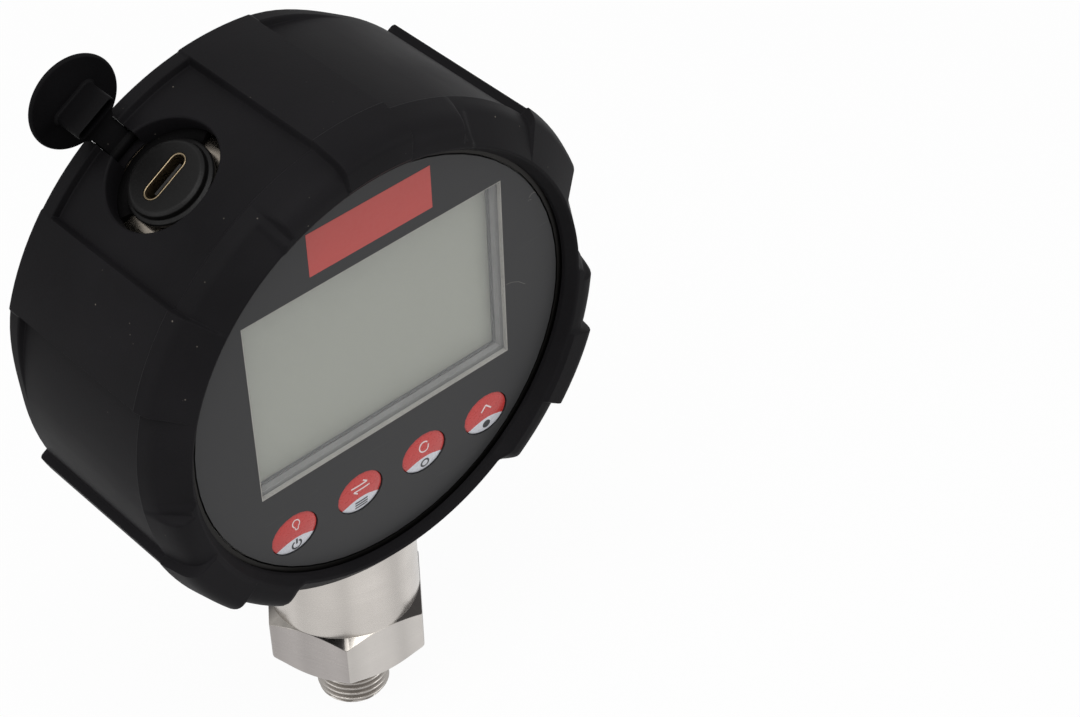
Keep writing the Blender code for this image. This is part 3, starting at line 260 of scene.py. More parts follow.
def even_shading(thing):
    """Lets large faces set the shading, so small rounds read as rounds."""
    step = thing.modifiers.new("even shading", "WEIGHTED_NORMAL")
    step.keep_sharp = True
    step.weight = 100


# Node helpers

class Look:
    """A material being built, with short calls for its nodes."""

    def __init__(self, name, colour, roughness, metallic=0.0, specular=0.5):
        self.material = bpy.data.materials.new(name)
        self.material.use_nodes = True
        self.tree = self.material.node_tree
        self.shader = self.tree.nodes["Principled BSDF"]
        self.shader.inputs["Base Color"].default_value = (*colour, 1)
        self.shader.inputs["Roughness"].default_value = roughness
        self.shader.inputs["Metallic"].default_value = metallic
        self.shader.inputs["Specular IOR Level"].default_value = specular
        self.material.diffuse_color = (*colour, 1)
        self.place = self.node("ShaderNodeTexCoord").outputs["Object"]

    def node(self, kind, **settings):
        """A new node with its settings."""
        made = self.tree.nodes.new(kind)
        for key, value in settings.items():
            setattr(made, key, value)
        return made

    def wire(self, source, target):
        """Joins two sockets."""
        self.tree.links.new(source, target)

    def put(self, socket, value):
        """Sets an input to a number, a colour or another node's output."""
        if isinstance(value, bpy.types.NodeSocket):
            self.wire(value, socket)
        else:
            socket.default_value = value

    def math(self, operation, first, second=0.0, third=0.0):
        """A Math node."""
        made = self.node("ShaderNodeMath", operation=operation)
        for socket, value in zip(made.inputs, (first, second, third)):
            self.put(socket, value)
        return made.outputs[0]

    def noise(self, scale, detail=3.0, roughness=0.5, stretch=None, place=None):
        """A Noise texture of the object's own coordinates. A stretch scales them on each axis."""
        made = self.node("ShaderNodeTexNoise")
        made.inputs["Scale"].default_value = scale
        made.inputs["Detail"].default_value = detail
        made.inputs["Roughness"].default_value = roughness
        source = place or self.place
        if stretch:
            mapping = self.node("ShaderNodeMapping")
            mapping.inputs["Scale"].default_value = stretch
            self.wire(source, mapping.inputs["Vector"])
            source = mapping.outputs[0]
        self.wire(source, made.inputs["Vector"])
        return made.outputs["Fac"]

    def about_dial(self):
        """The distance from the dial's axis and the way along it, in place of the object's coordinates."""
        parts = self.node("ShaderNodeSeparateXYZ")
        self.wire(self.place, parts.inputs[0])
        up = self.math("SUBTRACT", parts.outputs["Z"], DIAL_HEIGHT)
        up_square = self.math("MULTIPLY", up, up)
        square = self.math("MULTIPLY_ADD", parts.outputs["X"], parts.outputs["X"], up_square)
        joined = self.node("ShaderNodeCombineXYZ")
        self.wire(self.math("SQRT", square), joined.inputs["X"])
        self.wire(parts.outputs["Y"], joined.inputs["Y"])
        return joined.outputs[0]

    def cells(self, scale):
        """The distance to the nearest of many scattered points."""
        made = self.node("ShaderNodeTexVoronoi")
        made.inputs["Scale"].default_value = scale
        self.wire(self.place, made.inputs["Vector"])
        return made.outputs["Distance"]

    def ramp(self, source, low, high, out_low=0.0, out_high=1.0):
        """A straight change from one value to another."""
        made = self.node("ShaderNodeMapRange")
        for key, value in (("Value", source), ("From Min", low), ("From Max", high),
                           ("To Min", out_low), ("To Max", out_high)):
            self.put(made.inputs[key], value)
        return made.outputs[0]

    def blend(self, share, first, second):
        """A mix of two colours."""
        made = self.node("ShaderNodeMix", data_type="RGBA")
        self.put(made.inputs["Factor"], share)
        self.put(made.inputs["A"], first if not isinstance(first, tuple) else (*first, 1))
        self.put(made.inputs["B"], second if not isinstance(second, tuple) else (*second, 1))
        return made.outputs["Result"]

    def colour(self, source):
        """Sets the base colour."""
        self.wire(source, self.shader.inputs["Base Color"])

    def roughness(self, source):
        """Sets the roughness."""
        self.wire(source, self.shader.inputs["Roughness"])

    def bump(self, height, distance, strength=1.0):
        """Adds a bump to the surface, over any bump that is there."""
        made = self.node("ShaderNodeBump")
        made.inputs["Strength"].default_value = strength
        made.inputs["Distance"].default_value = distance
        self.wire(height, made.inputs["Height"])
        links = self.shader.inputs["Normal"].links
        if links:
            self.wire(links[0].from_socket, made.inputs["Normal"])
        self.wire(made.outputs[0], self.shader.inputs["Normal"])


# Materials

def tinted(colour, share):
    """A colour, darker or lighter by a share."""
    return tuple(c * share for c in colour)


def rubber(name, colour, dust):
    """Moulded rubber with a fine skin, soft blotches of gloss and scattered pale dust."""
    look = Look(name, colour, 0.6, specular=0.05)
    broad = look.noise(45, 4)
    fine = look.noise(2600, 2)
    grain = look.noise(7000, 1)
    skin = look.blend(look.ramp(broad, 0.35, 0.65), tinted(colour, 0.80), tinted(colour, 1.25))
    specks = look.ramp(look.cells(520), 0.035, 0.085, 1.0, 0.0)
    chosen = look.ramp(look.noise(300, 2), 0.60, 0.66)
    rare = look.math("MULTIPLY", look.math("MULTIPLY", specks, chosen), dust)
    look.colour(look.blend(rare, skin, (0.30, 0.27, 0.23)))
    duller = look.math("MULTIPLY", rare, 0.3)
    look.roughness(look.math("ADD", look.ramp(broad, 0.3, 0.7, 0.50, 0.62), duller))
    look.bump(look.math("ADD", fine, look.math("MULTIPLY", grain, 0.5)), 0.00003, 0.55)
    return look.material


def steel(name, colour, axis="Z", roughness=0.26, lines=5200):
    """Turned stainless steel: fine tool lines round an axis, faint blotches, and soft darker bands of painted
    reflection.
    """
    look = Look(name, colour, roughness, metallic=1.0)
    upright = axis == "Z"
    place = look.place if upright else look.about_dial()
    stretch = (0.05, 0.05, 1.0) if upright else None
    tool_lines = look.noise(lines, 3, 0.7, stretch, place)
    wide_lines = look.noise(lines / 9, 2, 0.6, stretch, place)
    blotch = look.noise(90, 3)
    tint = look.blend(look.ramp(blotch, 0.3, 0.7), tinted(colour, 0.94), tinted(colour, 1.06))
    # Painted reflection: soft darker bands round the axis stand in for dark surroundings mirrored in the
    # steel.
    reflection_bands = look.noise(150, 1, 0.4, (1.0, 1.0, 0.03) if upright else None, place)
    reflection_share = 0.55 if upright else 0.18
    tint = look.blend(look.ramp(reflection_bands, 0.36, 0.64, 0.0, reflection_share), tint, tinted(colour, 0.62))
    look.colour(look.blend(look.ramp(wide_lines, 0.35, 0.65, 0.0, 0.25), tint, tinted(colour, 0.85)))
    look.roughness(look.ramp(tool_lines, 0.3, 0.7, roughness - 0.06, roughness + 0.08))
    look.bump(tool_lines, 0.00001, 0.5)
    return look.material


def plastic(name, colour, roughness, texture=0.4, scale=2500, specular=0.45):
    """Moulded plastic with a fine spark texture."""
    look = Look(name, colour, roughness, specular=specular)
    fine = look.noise(scale, 3, 0.6)
    broad = look.noise(120, 2)
    look.colour(look.blend(look.ramp(broad, 0.3, 0.7), tinted(colour, 0.9), tinted(colour, 1.12)))
    look.roughness(look.ramp(fine, 0.3, 0.7, roughness - 0.05, roughness + 0.08))
    look.bump(fine, 0.00003, texture)
    return look.material


def printed_sheet():
    """The dark satin film of the front, finely grained, with a faint paler haze and hairline rubs."""
    colour = (0.031, 0.031, 0.032)
    look = Look("front_sheet", colour, 0.42, specular=0.22)
    grain = look.noise(5200, 2)
    haze = look.noise(38, 3)
    rubs = look.noise(900, 2, 0.6, (0.08, 1.0, 1.0))
    base = look.blend(look.ramp(haze, 0.3, 0.7), tinted(colour, 0.94), tinted(colour, 1.07))
    look.colour(look.blend(look.ramp(rubs, 0.72, 0.80, 0.0, 0.12), base, (0.20, 0.20, 0.20)))
    look.roughness(look.ramp(haze, 0.3, 0.7, 0.38, 0.48))
    look.bump(grain, 0.00002, 0.25)
    return look.material


def display_film():
    """The grey-green reflective film of an unlit display, with a faint grain."""
    colour = (0.285, 0.295, 0.245)
    look = Look("display_film", colour, 0.38, specular=0.35)
    grain = look.noise(3800, 2)
    cloud = look.noise(28, 2)
    base = look.blend(look.ramp(cloud, 0.3, 0.7), tinted(colour, 0.97), tinted(colour, 1.03))
    look.colour(look.blend(look.ramp(grain, 0.45, 0.75, 0.0, 0.012), base, (0.20, 0.20, 0.18)))
    look.bump(cloud, 0.00001, 0.05)
    return look.material


def clear_pane():
    """A clear pane, thin enough to show what lies behind as it is."""
    look = Look("clear_pane", (0.86, 0.87, 0.86), 0.06, specular=0.8)
    look.shader.inputs["Alpha"].default_value = 0.10
    haze = look.noise(30, 2)
    look.roughness(look.ramp(haze, 0.3, 0.7, 0.04, 0.10))
    return look.material


def gloss(name, colour, roughness=0.28, texture=0.05):
    """Printed gloss, such as the domed keys."""
    look = Look(name, colour, roughness, specular=0.5)
    fine = look.noise(1400, 2)
    cloud = look.noise(160, 2)
    look.colour(look.blend(look.ramp(cloud, 0.3, 0.7), tinted(colour, 0.98), tinted(colour, 1.02)))
    look.roughness(look.ramp(fine, 0.3, 0.7, roughness - 0.04, roughness + 0.06))
    look.bump(fine, 0.000005, texture)
    return look.material


def circuit():
    """Green solder mask with darker tracks."""
    look = Look("circuit_mask", (0.02, 0.13, 0.05), 0.35)
    tracks = look.node("ShaderNodeTexBrick")
    tracks.inputs["Scale"].default_value = 420
    tracks.inputs["Mortar Size"].default_value = 0.035
    look.wire(look.place, tracks.inputs["Vector"])
    share = look.math("MULTIPLY", tracks.outputs["Fac"], 0.7)
    look.colour(look.blend(share, (0.016, 0.11, 0.045), (0.04, 0.22, 0.08)))
    look.bump(tracks.outputs["Fac"], 0.00003, 0.4)
    return look.material


def chamfer_painted_reflection():
    """The hexagon's chamfer, with painted reflection in its colour: dark, as of the boot, at its corners and
    pale, as of the floor, between.
    """
    look = Look("chamfer_painted_reflection", (0.3, 0.3, 0.3), 0.24, metallic=1.0)
    parts = look.node("ShaderNodeSeparateXYZ")
    look.wire(look.place, parts.inputs[0])
    turn = look.math("ARCTAN2", parts.outputs["Y"], parts.outputs["X"])
    past_front = look.ramp(turn, math.radians(-131), math.radians(-120))
    before_right = look.ramp(turn, math.radians(-98), math.radians(-86), 1.0, 0.0)
    far_left = look.ramp(look.math("ABSOLUTE", turn), math.radians(158), math.radians(172), 0.0, 0.45)
    share = look.math("MAXIMUM", look.math("MINIMUM", past_front, before_right), far_left)
    streaks = look.noise(900, 2, 0.6)
    share = look.math("MULTIPLY", share, look.ramp(streaks, 0.3, 0.7, 0.85, 1.0))
    # Painted reflection: the base colour goes dark where the boot would be mirrored and pale where the floor
    # would.
    look.colour(look.blend(share, (0.050, 0.046, 0.044), (0.64, 0.60, 0.55)))
    look.bump(streaks, 0.000005, 0.4)
    return look.material


LOOKS = {
    "rubber": rubber("boot_rubber", (0.0084, 0.0079, 0.0088), 0.55),
    "plug": rubber("plug_rubber", (0.0034, 0.0032, 0.0036), 0.30),
    "shade": rubber("painted_shade_rubber", (0.0016, 0.0015, 0.0016), 0.20),
    "steel": steel("turned_steel", (0.60, 0.565, 0.53)),
    # Lit and shaded copies of one milled steel for the hexagon: painted shade on the faces turned from the
    # light, painted light on the one facing it.
    "hexagon": steel("painted_shade_milled_steel", (0.44, 0.41, 0.395), roughness=0.30, lines=2600),
    "painted_lit_face": steel("painted_lit_facet", (0.60, 0.57, 0.54), roughness=0.32, lines=2600),
    "chamfer": chamfer_painted_reflection(),
    # The thread is a darker copy of the turned steel: painted shade.
    "thread": steel("shaded_thread_steel", (0.40, 0.375, 0.35), roughness=0.27),
    # The case is a darker copy of the steel: painted shade, as it is seen only in the shade inside the port
    # hole.
    "case": steel("shaded_case_steel", (0.27, 0.24, 0.205), axis="Y", roughness=0.24),
    "bezel": steel("bezel_steel", (0.020, 0.019, 0.018), axis="Y", roughness=0.40),
    "sheet": printed_sheet(),
    "film": display_film(),
    "pane": clear_pane(),
    "edge": plastic("pane_edge", (0.34, 0.325, 0.30), 0.30, 0.1),
    "red": gloss("key_red", (0.50, 0.040, 0.036)),
    "label": gloss("label_red", (0.44, 0.060, 0.052), 0.45, 0.25),
    "white": gloss("key_white", (0.62, 0.63, 0.67)),
    "ink": gloss("key_ink", (0.020, 0.022, 0.026), 0.40),
    "pale": gloss("key_pale", (0.72, 0.62, 0.62), 0.40),
    "scratch": gloss("sheet_scratch", (0.105, 0.100, 0.090), 0.55),
    "bush": plastic("bush_plastic", (0.0050, 0.0048, 0.0048), 0.42, 0.9, 3600, specular=0.16),
    "housing": plastic("housing_plastic", (0.212, 0.209, 0.204), 0.60, 0.03, 900, specular=0.2),
    "black": plastic("black_moulding", (0.012, 0.012, 0.013), 0.42, 0.35),
    "grey": plastic("grey_moulding", (0.30, 0.30, 0.29), 0.50, 0.3),
    "light": plastic("light_guide", (0.70, 0.72, 0.68), 0.40, 0.1),
    "gold": steel("gilt_shell", (0.30, 0.235, 0.15), roughness=0.30, lines=3000),
    "brass": steel("brass_nut", (0.66, 0.48, 0.20), roughness=0.30),
    "seal": plastic("seal_rubber", (0.010, 0.010, 0.010), 0.62, 0.3),
    "circuit": circuit(),
    "wrap": plastic("cell_wrap", (0.05, 0.10, 0.24), 0.35, 0.1),
    "jacket": plastic("lead_jacket", (0.02, 0.02, 0.02), 0.45, 0.2),
}


# Boot

def ease(share):
    """A smooth step from 0 to 1."""
    share = min(max(share, 0.0), 1.0)
    return share * share * (3 - 2 * share)


def zone(angle, centre, half, ramp):
    """1 inside a stretch of angle, easing to 0 over the ramp beyond it."""
    away = abs((angle - centre + 180) % 360 - 180)
    return ease((half + ramp - away) / ramp)


def mixed(first, second, share):
    """A point between two points."""
    return tuple(a + (b - a) * share for a, b in zip(first, second))


def bent(before, corner, after, back, ahead, steps=6):
    """A soft bend round a corner, from a given way before it to a given way after it."""
    here = Vector(corner[:2])
    start = here + (Vector(before[:2]) - here).normalized() * back
    end = here + (Vector(after[:2]) - here).normalized() * ahead
    return [(x, y, 0) for x, y in curve(start, here, end, steps)]


def boot_section(angle):
    """The boot's rounded cross-section at an angle, as (radius, depth) points."""
    pad = max(zone(angle, centre, half, PAD_RAMP) for centre, half in PADS)
    relief = zone(angle, *STEM_RELIEF)
    deep = zone(angle, *DEEP_CHAMFER)

    def face(out):
        """A point of the front face, from the crest at 0 to the corner at 1, and its share of chamfer."""
        half = CHAMFER_HALF + CHAMFER_SLANT * out
        cut = max(zone(angle, centre, half, CHAMFER_RAMP) for centre in CHAMFERS)
        flat = mixed((CREST_RADIUS, BOOT_FRONT), (BOOT_RADIUS - 1.1 * MM, BOOT_FRONT), out)
        edge = mixed((BOOT_RADIUS - 0.6 * MM, 1.5 * MM), (BOOT_RADIUS - 0.9 * MM, 3.6 * MM), deep)
        sloped = mixed((CREST_RADIUS, BOOT_FRONT + 0.2 * MM), edge, out)
        low = mixed((CREST_RADIUS - 0.7 * MM, BOOT_FRONT + 0.7 * MM), (BOOT_INNER + 1.2 * MM, 0.3 * MM), out)
        point = mixed(mixed(flat, sloped, cut), low, relief)
        lift = 0.5 * MM * pad * (1 - cut) * min(out / 0.12, 1.0)
        return point[0] + PAD_RISE * pad * out, point[1] - lift, cut

    crest = face(0.0)
    corner = face(1.0)
    flank = BOOT_RADIUS + (BOOT_INNER + 1.5 * MM - BOOT_RADIUS) * relief + PAD_RISE * pad
    raised = zone(angle, *RAISED_RIM)
    rim = flank + REAR_RIM_RISE * raised * (1 - pad)
    rim_front = BOOT_BACK - REAR_RIM_WIDTH
    shoulder = (flank + 0.3 * MM * (1 - deep), 3.8 * MM + 1.5 * MM * deep)
    kept_round = (1 - max(corner[2], relief)) * (1 - 0.4 * pad)
    back_way = 0.8 * MM + 1.9 * MM * kept_round
    ahead_way = 1.1 * MM + 2.9 * MM * kept_round
    rear_edge = 1.2 * MM - 0.8 * MM * max(raised, pad)
    front = (
        (LIP_RADIUS, -GAP, 0.0001),
        (LIP_RADIUS + 0.2 * MM, -1.0 * MM, 0.0008),
        (crest[0] - 0.4 * MM, crest[1] + 0.17 * MM, 0.0006),
        (*crest[:2], 0.0005),
        (*face(0.12)[:2], 0.0002),
        (*face(0.24)[:2], 0),
        *bent(face(0.24), corner, shoulder, back_way, ahead_way),
        (*shoulder, 0.0004),
        (flank, shoulder[1] + 0.3 * MM, 0.0002),
    )
    start, end = 6.6 * MM, rim_front - 1.2 * MM
    side = tuple((flank, start + (end - start) * k / FLANK_STEPS, 0) for k in range(FLANK_STEPS + 1))
    back = (
        (flank, rim_front - 0.3 * MM, 0.0002),
        (rim, rim_front, 0.0004),
        (rim, BOOT_BACK - rear_edge, rear_edge),
        (rim - rear_edge, BOOT_BACK, rear_edge),
        (CASE_RADIUS - BACK_LIP_WIDTH, BOOT_BACK, 0.0004),
        (CASE_RADIUS - BACK_LIP_WIDTH, BOOT_BACK - BACK_LIP_THICKNESS, 0),
        (BOOT_INNER, BOOT_BACK - BACK_LIP_THICKNESS, 0),
        (BOOT_INNER, -GAP, 0),
    )
    return filleted(front + side + back)


def boot_stations():
    """Angles for the boot's sections, close together where it steps."""
    angles = {round(2.5 * k, 3) for k in range(144)}
    edges = [(*pad, PAD_RAMP) for pad in PADS]
    edges.append(STEM_RELIEF)
    for centre in CHAMFERS:
        for side in (-1, 1):
            for step in range(17):
                angles.add(round((centre + side * (CHAMFER_HALF - 0.2 + 0.35 * step)) % 360, 3))
    for centre, half, ramp in edges:
        for side in (-1, 1):
            for share in (-0.1, 0.0, 0.15, 0.3, 0.5, 0.7, 0.85, 1.0, 1.1):
                angles.add(round((centre + side * (half + ramp * share)) % 360, 3))
    kept = []
    for angle in sorted(angles):
        if not kept or angle - kept[-1] > 0.02:
            kept.append(angle)
    return kept


def port_hole_cutter():
    """A round cutter whose rim flares along the boot's curved flank, which rounds the hole's edge."""
    rows = (
        (PORT_HOLE, None),
        (PORT_HOLE, -0.55 * MM),
        (PORT_HOLE + 0.04 * MM, -0.30 * MM),
        (PORT_HOLE + 0.15 * MM, -0.12 * MM),
        (PORT_HOLE + 0.34 * MM, -0.02 * MM),
        (PORT_HOLE + 0.70 * MM, 0.05 * MM),
        (PORT_HOLE + 0.70 * MM, 4.0 * MM),
    )
    loops = []
    for radius, above in rows:
        loop = []
        for x, y in circle(radius, 96):
            surface = math.sqrt(BOOT_RADIUS ** 2 - x ** 2)
            loop.append((x, y, CASE_RADIUS - 2 * MM if above is None else surface + above))
        loops.append(loop)
    return loft("hole_cutter", loops, PORT)


def shade_web_loops():
    """A thin dark web behind the bush, on the side of the plug's strap: a dark piece put in the hole's gap as
    painted shade.
    """
    section = ((7.65, 40.32), (9.75, 40.32), (9.75, 41.15), (9.3, 41.25), (7.85, 40.85), (7.65, 40.7))
    steps = 24
    loops = []
    for k in range(steps + 1):
        turn = math.radians(188 + 150 * k / steps)
        x, y = math.cos(turn), math.sin(turn)
        loops.append([(r * x * MM, r * y * MM, z * MM) for r, z in section])
    return loops


def make_boot():
    """The rubber boot with its port hole, strap notch, bead pocket and stem hole."""
    loops = []
    for angle in boot_stations():
        turn = math.radians(angle)
        loops.append([(r * math.cos(turn), r * math.sin(turn), -depth) for r, depth in boot_section(angle)])
    boot = loft("boot", loops, DIAL, LOOKS["rubber"], ring=True)
    tidy(boot)
    notch_end = BOOT_BACK - PORT_DEPTH + 2 * MM
    notch_shape = rectangle(-2.5 * MM, 2.5 * MM, -notch_end, -8.0 * MM)
    notch = prism("notch_cutter", notch_shape, BOOT_INNER + 0.3 * MM, BOOT_RADIUS + 4 * MM, PORT)
    pocket_shape = rectangle(-4.3 * MM, 4.3 * MM, -PLUG_ARM - 1.3 * MM, -PLUG_ARM + 1.3 * MM)
    pocket = prism("pocket_cutter", pocket_shape, BOOT_INNER + 0.05 * MM, PIVOT_RADIUS + 1.3 * MM, PORT)
    stem = prism("stem_cutter", circle(STEM_HOLE_RADIUS, 96), DIAL_HEIGHT - BOOT_RADIUS - 4 * MM,
                 DIAL_HEIGHT - CASE_RADIUS + 4 * MM, WORLD)
    carve(boot, [port_hole_cutter(), notch, pocket, stem], sharp=40)
    even_shading(boot)
    # Painted shade: a near-black rubber web darkens the gap between the bush and the hole.
    shade_web = loft("painted_shade_web", shade_web_loops(), PORT, LOOKS["shade"])
    for piece in (boot, shade_web):
        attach(piece, BODY)
    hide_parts("protective_boot")


# Process connection

THREAD_RADIUS = 6.5785 * MM
THREAD_LENGTH = 14.5 * MM
THREAD_PITCH = 1.337 * MM
THREAD_DEPTH = 0.856 * MM
HEX_FLATS = 27.0 * MM
HEX_HEIGHT = 10.9 * MM
HEX_TURN = 232.0
NECK_RADIUS = 10.0 * MM
NECK_TOP = DIAL_HEIGHT - 40.6 * MM
BODY_TOP = DIAL_HEIGHT - 41.9 * MM
BORE = 2.5 * MM


def hexagon_radius(angle):
    """The hexagon's radius at an angle, with its upright edges just broken."""
    off = (angle - HEX_TURN + 30) % 60 - 30
    flat = HEX_FLATS / 2 / math.cos(math.radians(30 - abs(off)))
    return min(flat, HEX_FLATS / 2 / math.cos(math.radians(30)) - 0.10 * MM)


def stem_section(angle):
    """The steel body's section at an angle, from the thread relief up to the spigot's foot."""
    hexagon = hexagon_radius(angle)
    slope = math.tan(math.radians(30))
    top_start = HEX_FLATS / 2 - 0.05 * MM
    bottom_start = HEX_FLATS / 2 - 0.15 * MM
    top = HEX_HEIGHT - (hexagon - top_start) * slope
    bottom = max((hexagon - bottom_start) * slope, 0.02 * MM)
    relief = THREAD_RADIUS - THREAD_DEPTH - 0.1 * MM
    return filleted((
        (BORE, -1.6 * MM, 0),
        (relief, -1.6 * MM, 0),
        (relief, 0.3 * MM, 0.0001),
        (relief + 1.8 * MM, 0.3 * MM, 0.0001),
        (relief + 1.8 * MM, 0, 0.0001),
        (bottom_start, 0, 0.0001),
        (hexagon, bottom, 0.0011),
        (hexagon, top, 0.00018),
        (top_start, HEX_HEIGHT, 0.00008),
        (top_start, BODY_TOP - 0.5 * MM, 0.0002),
        (top_start - 0.5 * MM, BODY_TOP, 0.0002),
        (NECK_RADIUS, BODY_TOP, 0),
        (NECK_RADIUS, NECK_TOP, 0),
        (BORE, NECK_TOP, 0),
    ))


def make_stem():
    """The steel body and hexagon, and the threaded end below them."""
    angles = {3.0 * k for k in range(120)}
    for k in range(6):
        for offset in (-1.5, -0.9, -0.6, -0.3, 0.0, 0.3, 0.6, 0.9, 1.5):
            angles.add((HEX_TURN + 60 * k + offset) % 360)
    loops = []
    for angle in sorted(angles):
        turn = math.radians(angle)
        loops.append([(r * math.cos(turn), r * math.sin(turn), z) for r, z in stem_section(angle)])
    body = loft("steel_body", loops, WORLD, LOOKS["steel"], ring=True, sharp=60)
    tidy(body)
    for look in ("hexagon", "painted_lit_face", "chamfer"):
        body.data.materials.append(LOOKS[look])
    for face in body.data.polygons:
        away = math.hypot(face.center.x, face.center.y)
        if face.center.z > HEX_HEIGHT + 0.01 * MM or away < HEX_FLATS / 2 - 0.5 * MM:
            continue
        turn = math.degrees(math.atan2(face.center.y, face.center.x)) % 360
        # The face towards the light takes the painted lit copy, the other faces the painted shaded copy, and
        # the chamfer faces the painted reflection.
        face.material_index = 2 if HEX_TURN < turn < HEX_TURN + 60 else 1
        if face.normal.z > 0.3:
            face.material_index = 3
    even_shading(body)
    spigot = turned("steel_spigot", (
        (5.2 * MM, NECK_TOP + 0.05 * MM, 0),
        (6.8 * MM, NECK_TOP + 0.05 * MM, 0),
        (6.8 * MM, DIAL_HEIGHT - 31.6 * MM, 0.0003),
        (5.2 * MM, DIAL_HEIGHT - 31.6 * MM, 0.0001),
    ), WORLD, LOOKS["steel"], 48)
    thread = make_thread()
    for piece in (body, spigot, thread):
        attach(piece, BODY)
    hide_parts("process_connection")
    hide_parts("process_connection")
    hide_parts("process_connection")


def thread_radius(turn, z):
    """The thread's radius at a turn about the axis and a height."""
    phase = (z / THREAD_PITCH + turn / (2 * math.pi)) % 1.0
    ridge = abs(phase * 2 - 1)
    ridge = min(max((ridge - 0.14) / 0.72, 0.0), 1.0)
    ridge = 0.5 * ridge + 0.5 * ease(ridge)
    radius = THREAD_RADIUS - THREAD_DEPTH * (1 - ridge)
    from_end = z + THREAD_LENGTH
    return min(radius, THREAD_RADIUS - 0.95 * MM + from_end)


def make_thread():
    """The G1/4 thread, cut as a true helix, with a broken end and a bore."""
    count = 72
    top = -1.55 * MM
    rows = 128
    root = THREAD_RADIUS - THREAD_DEPTH - 0.1 * MM
    loops = []
    for k in range(count):
        turn = 2 * math.pi * k / count
        x, y = math.cos(turn), math.sin(turn)
        loop = [(BORE * x, BORE * y, top), (BORE * x, BORE * y, -THREAD_LENGTH + 0.4 * MM)]
        loop.append(((BORE + 0.4 * MM) * x, (BORE + 0.4 * MM) * y, -THREAD_LENGTH))
        for j in range(rows + 1):
            z = -THREAD_LENGTH + (top + THREAD_LENGTH) * j / rows
            fade = ease((z + 2.6 * MM) / MM)
            radius = thread_radius(turn, z) * (1 - fade) + root * fade
            loop.append((radius * x, radius * y, z))
        loops.append(loop)
    return loft("steel_thread", loops, WORLD, LOOKS["thread"], ring=True, sharp=70)


# Port

PORT_FLAT_HALF = 7.75 * MM
PORT_SEAL = 0.5 * MM
BUSH_HEIGHT = 2.3 * MM
BUSH_TAIL = 4.2 * MM
USB_WIDTH = 8.94 * MM
USB_HALF = 1.6 * MM
USB_WALL = 0.3 * MM
SLOT_HALF = 1.68 * MM


def make_port():
    """The bush with its rounded, textured face, and the shell of the receptacle."""
    seal_base = math.sqrt(CASE_RADIUS ** 2 - PORT_FLAT_HALF ** 2) + GAP
    base = seal_base + PORT_SEAL + GAP
    face = base + BUSH_HEIGHT
    tail = CASE_RADIUS - CASE_WALL - BUSH_TAIL + 0.9 * MM
    bush = turned("bush", (
        (1e-7, tail, 0),
        (5.5 * MM, tail, 0.0002),
        (5.5 * MM, base, 0),
        (7.5 * MM, base, 0.0002),
        (7.5 * MM, base + 0.7 * MM, 0.0004),
        (6.75 * MM, base + 0.95 * MM, 0.0003),
        (6.7 * MM, face - 0.45 * MM, 0.0004),
        (6.1 * MM, face, 0.0007),
        (1e-7, face, 0),
    ), PORT, LOOKS["bush"], 96, steps=5)
    slot_shape = stadium(USB_WIDTH + 0.16 * MM, -SLOT_HALF, SLOT_HALF)
    slot = prism("slot_cutter", slot_shape, tail - MM, face + MM, PORT)
    carve(bush, [slot])
    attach(bush, BODY)
    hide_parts("port_bush")

    rim = face + 0.05 * MM
    rows = (
        (0.0, tail), (0.0, rim - 0.12 * MM), (0.05 * MM, rim - 0.03 * MM), (0.12 * MM, rim), (0.20 * MM, rim),
        (0.27 * MM, rim - 0.04 * MM), (USB_WALL, rim - 0.13 * MM), (USB_WALL, tail),
    )
    loops = [[(x, y, z) for x, y in stadium(USB_WIDTH - 2 * i, -USB_HALF + i, USB_HALF - i)] for i, z in rows]
    shell = loft("gilt_shell", loops, PORT, LOOKS["gold"], ring=True)
    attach(shell, BODY)
    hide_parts("usb_shell")


# Port plug

STUB_LENGTH = 5.4 * MM
STUB_WIDTH = 8.0 * MM
STUB_CLEARANCE = 0.15 * MM


def stub_outline(depth, wall):
    """The stub's slot shape a given way along it, drawn in by a wall. It clears the shell on its swing."""
    opening = USB_HALF - USB_WALL
    swing = PLUG_ARM + opening - STUB_CLEARANCE
    rear = PLUG_ARM - opening + STUB_CLEARANCE
    front = math.sqrt(swing ** 2 - depth ** 2)
    return stadium(STUB_WIDTH - 2 * wall, rear + wall, front - wall)


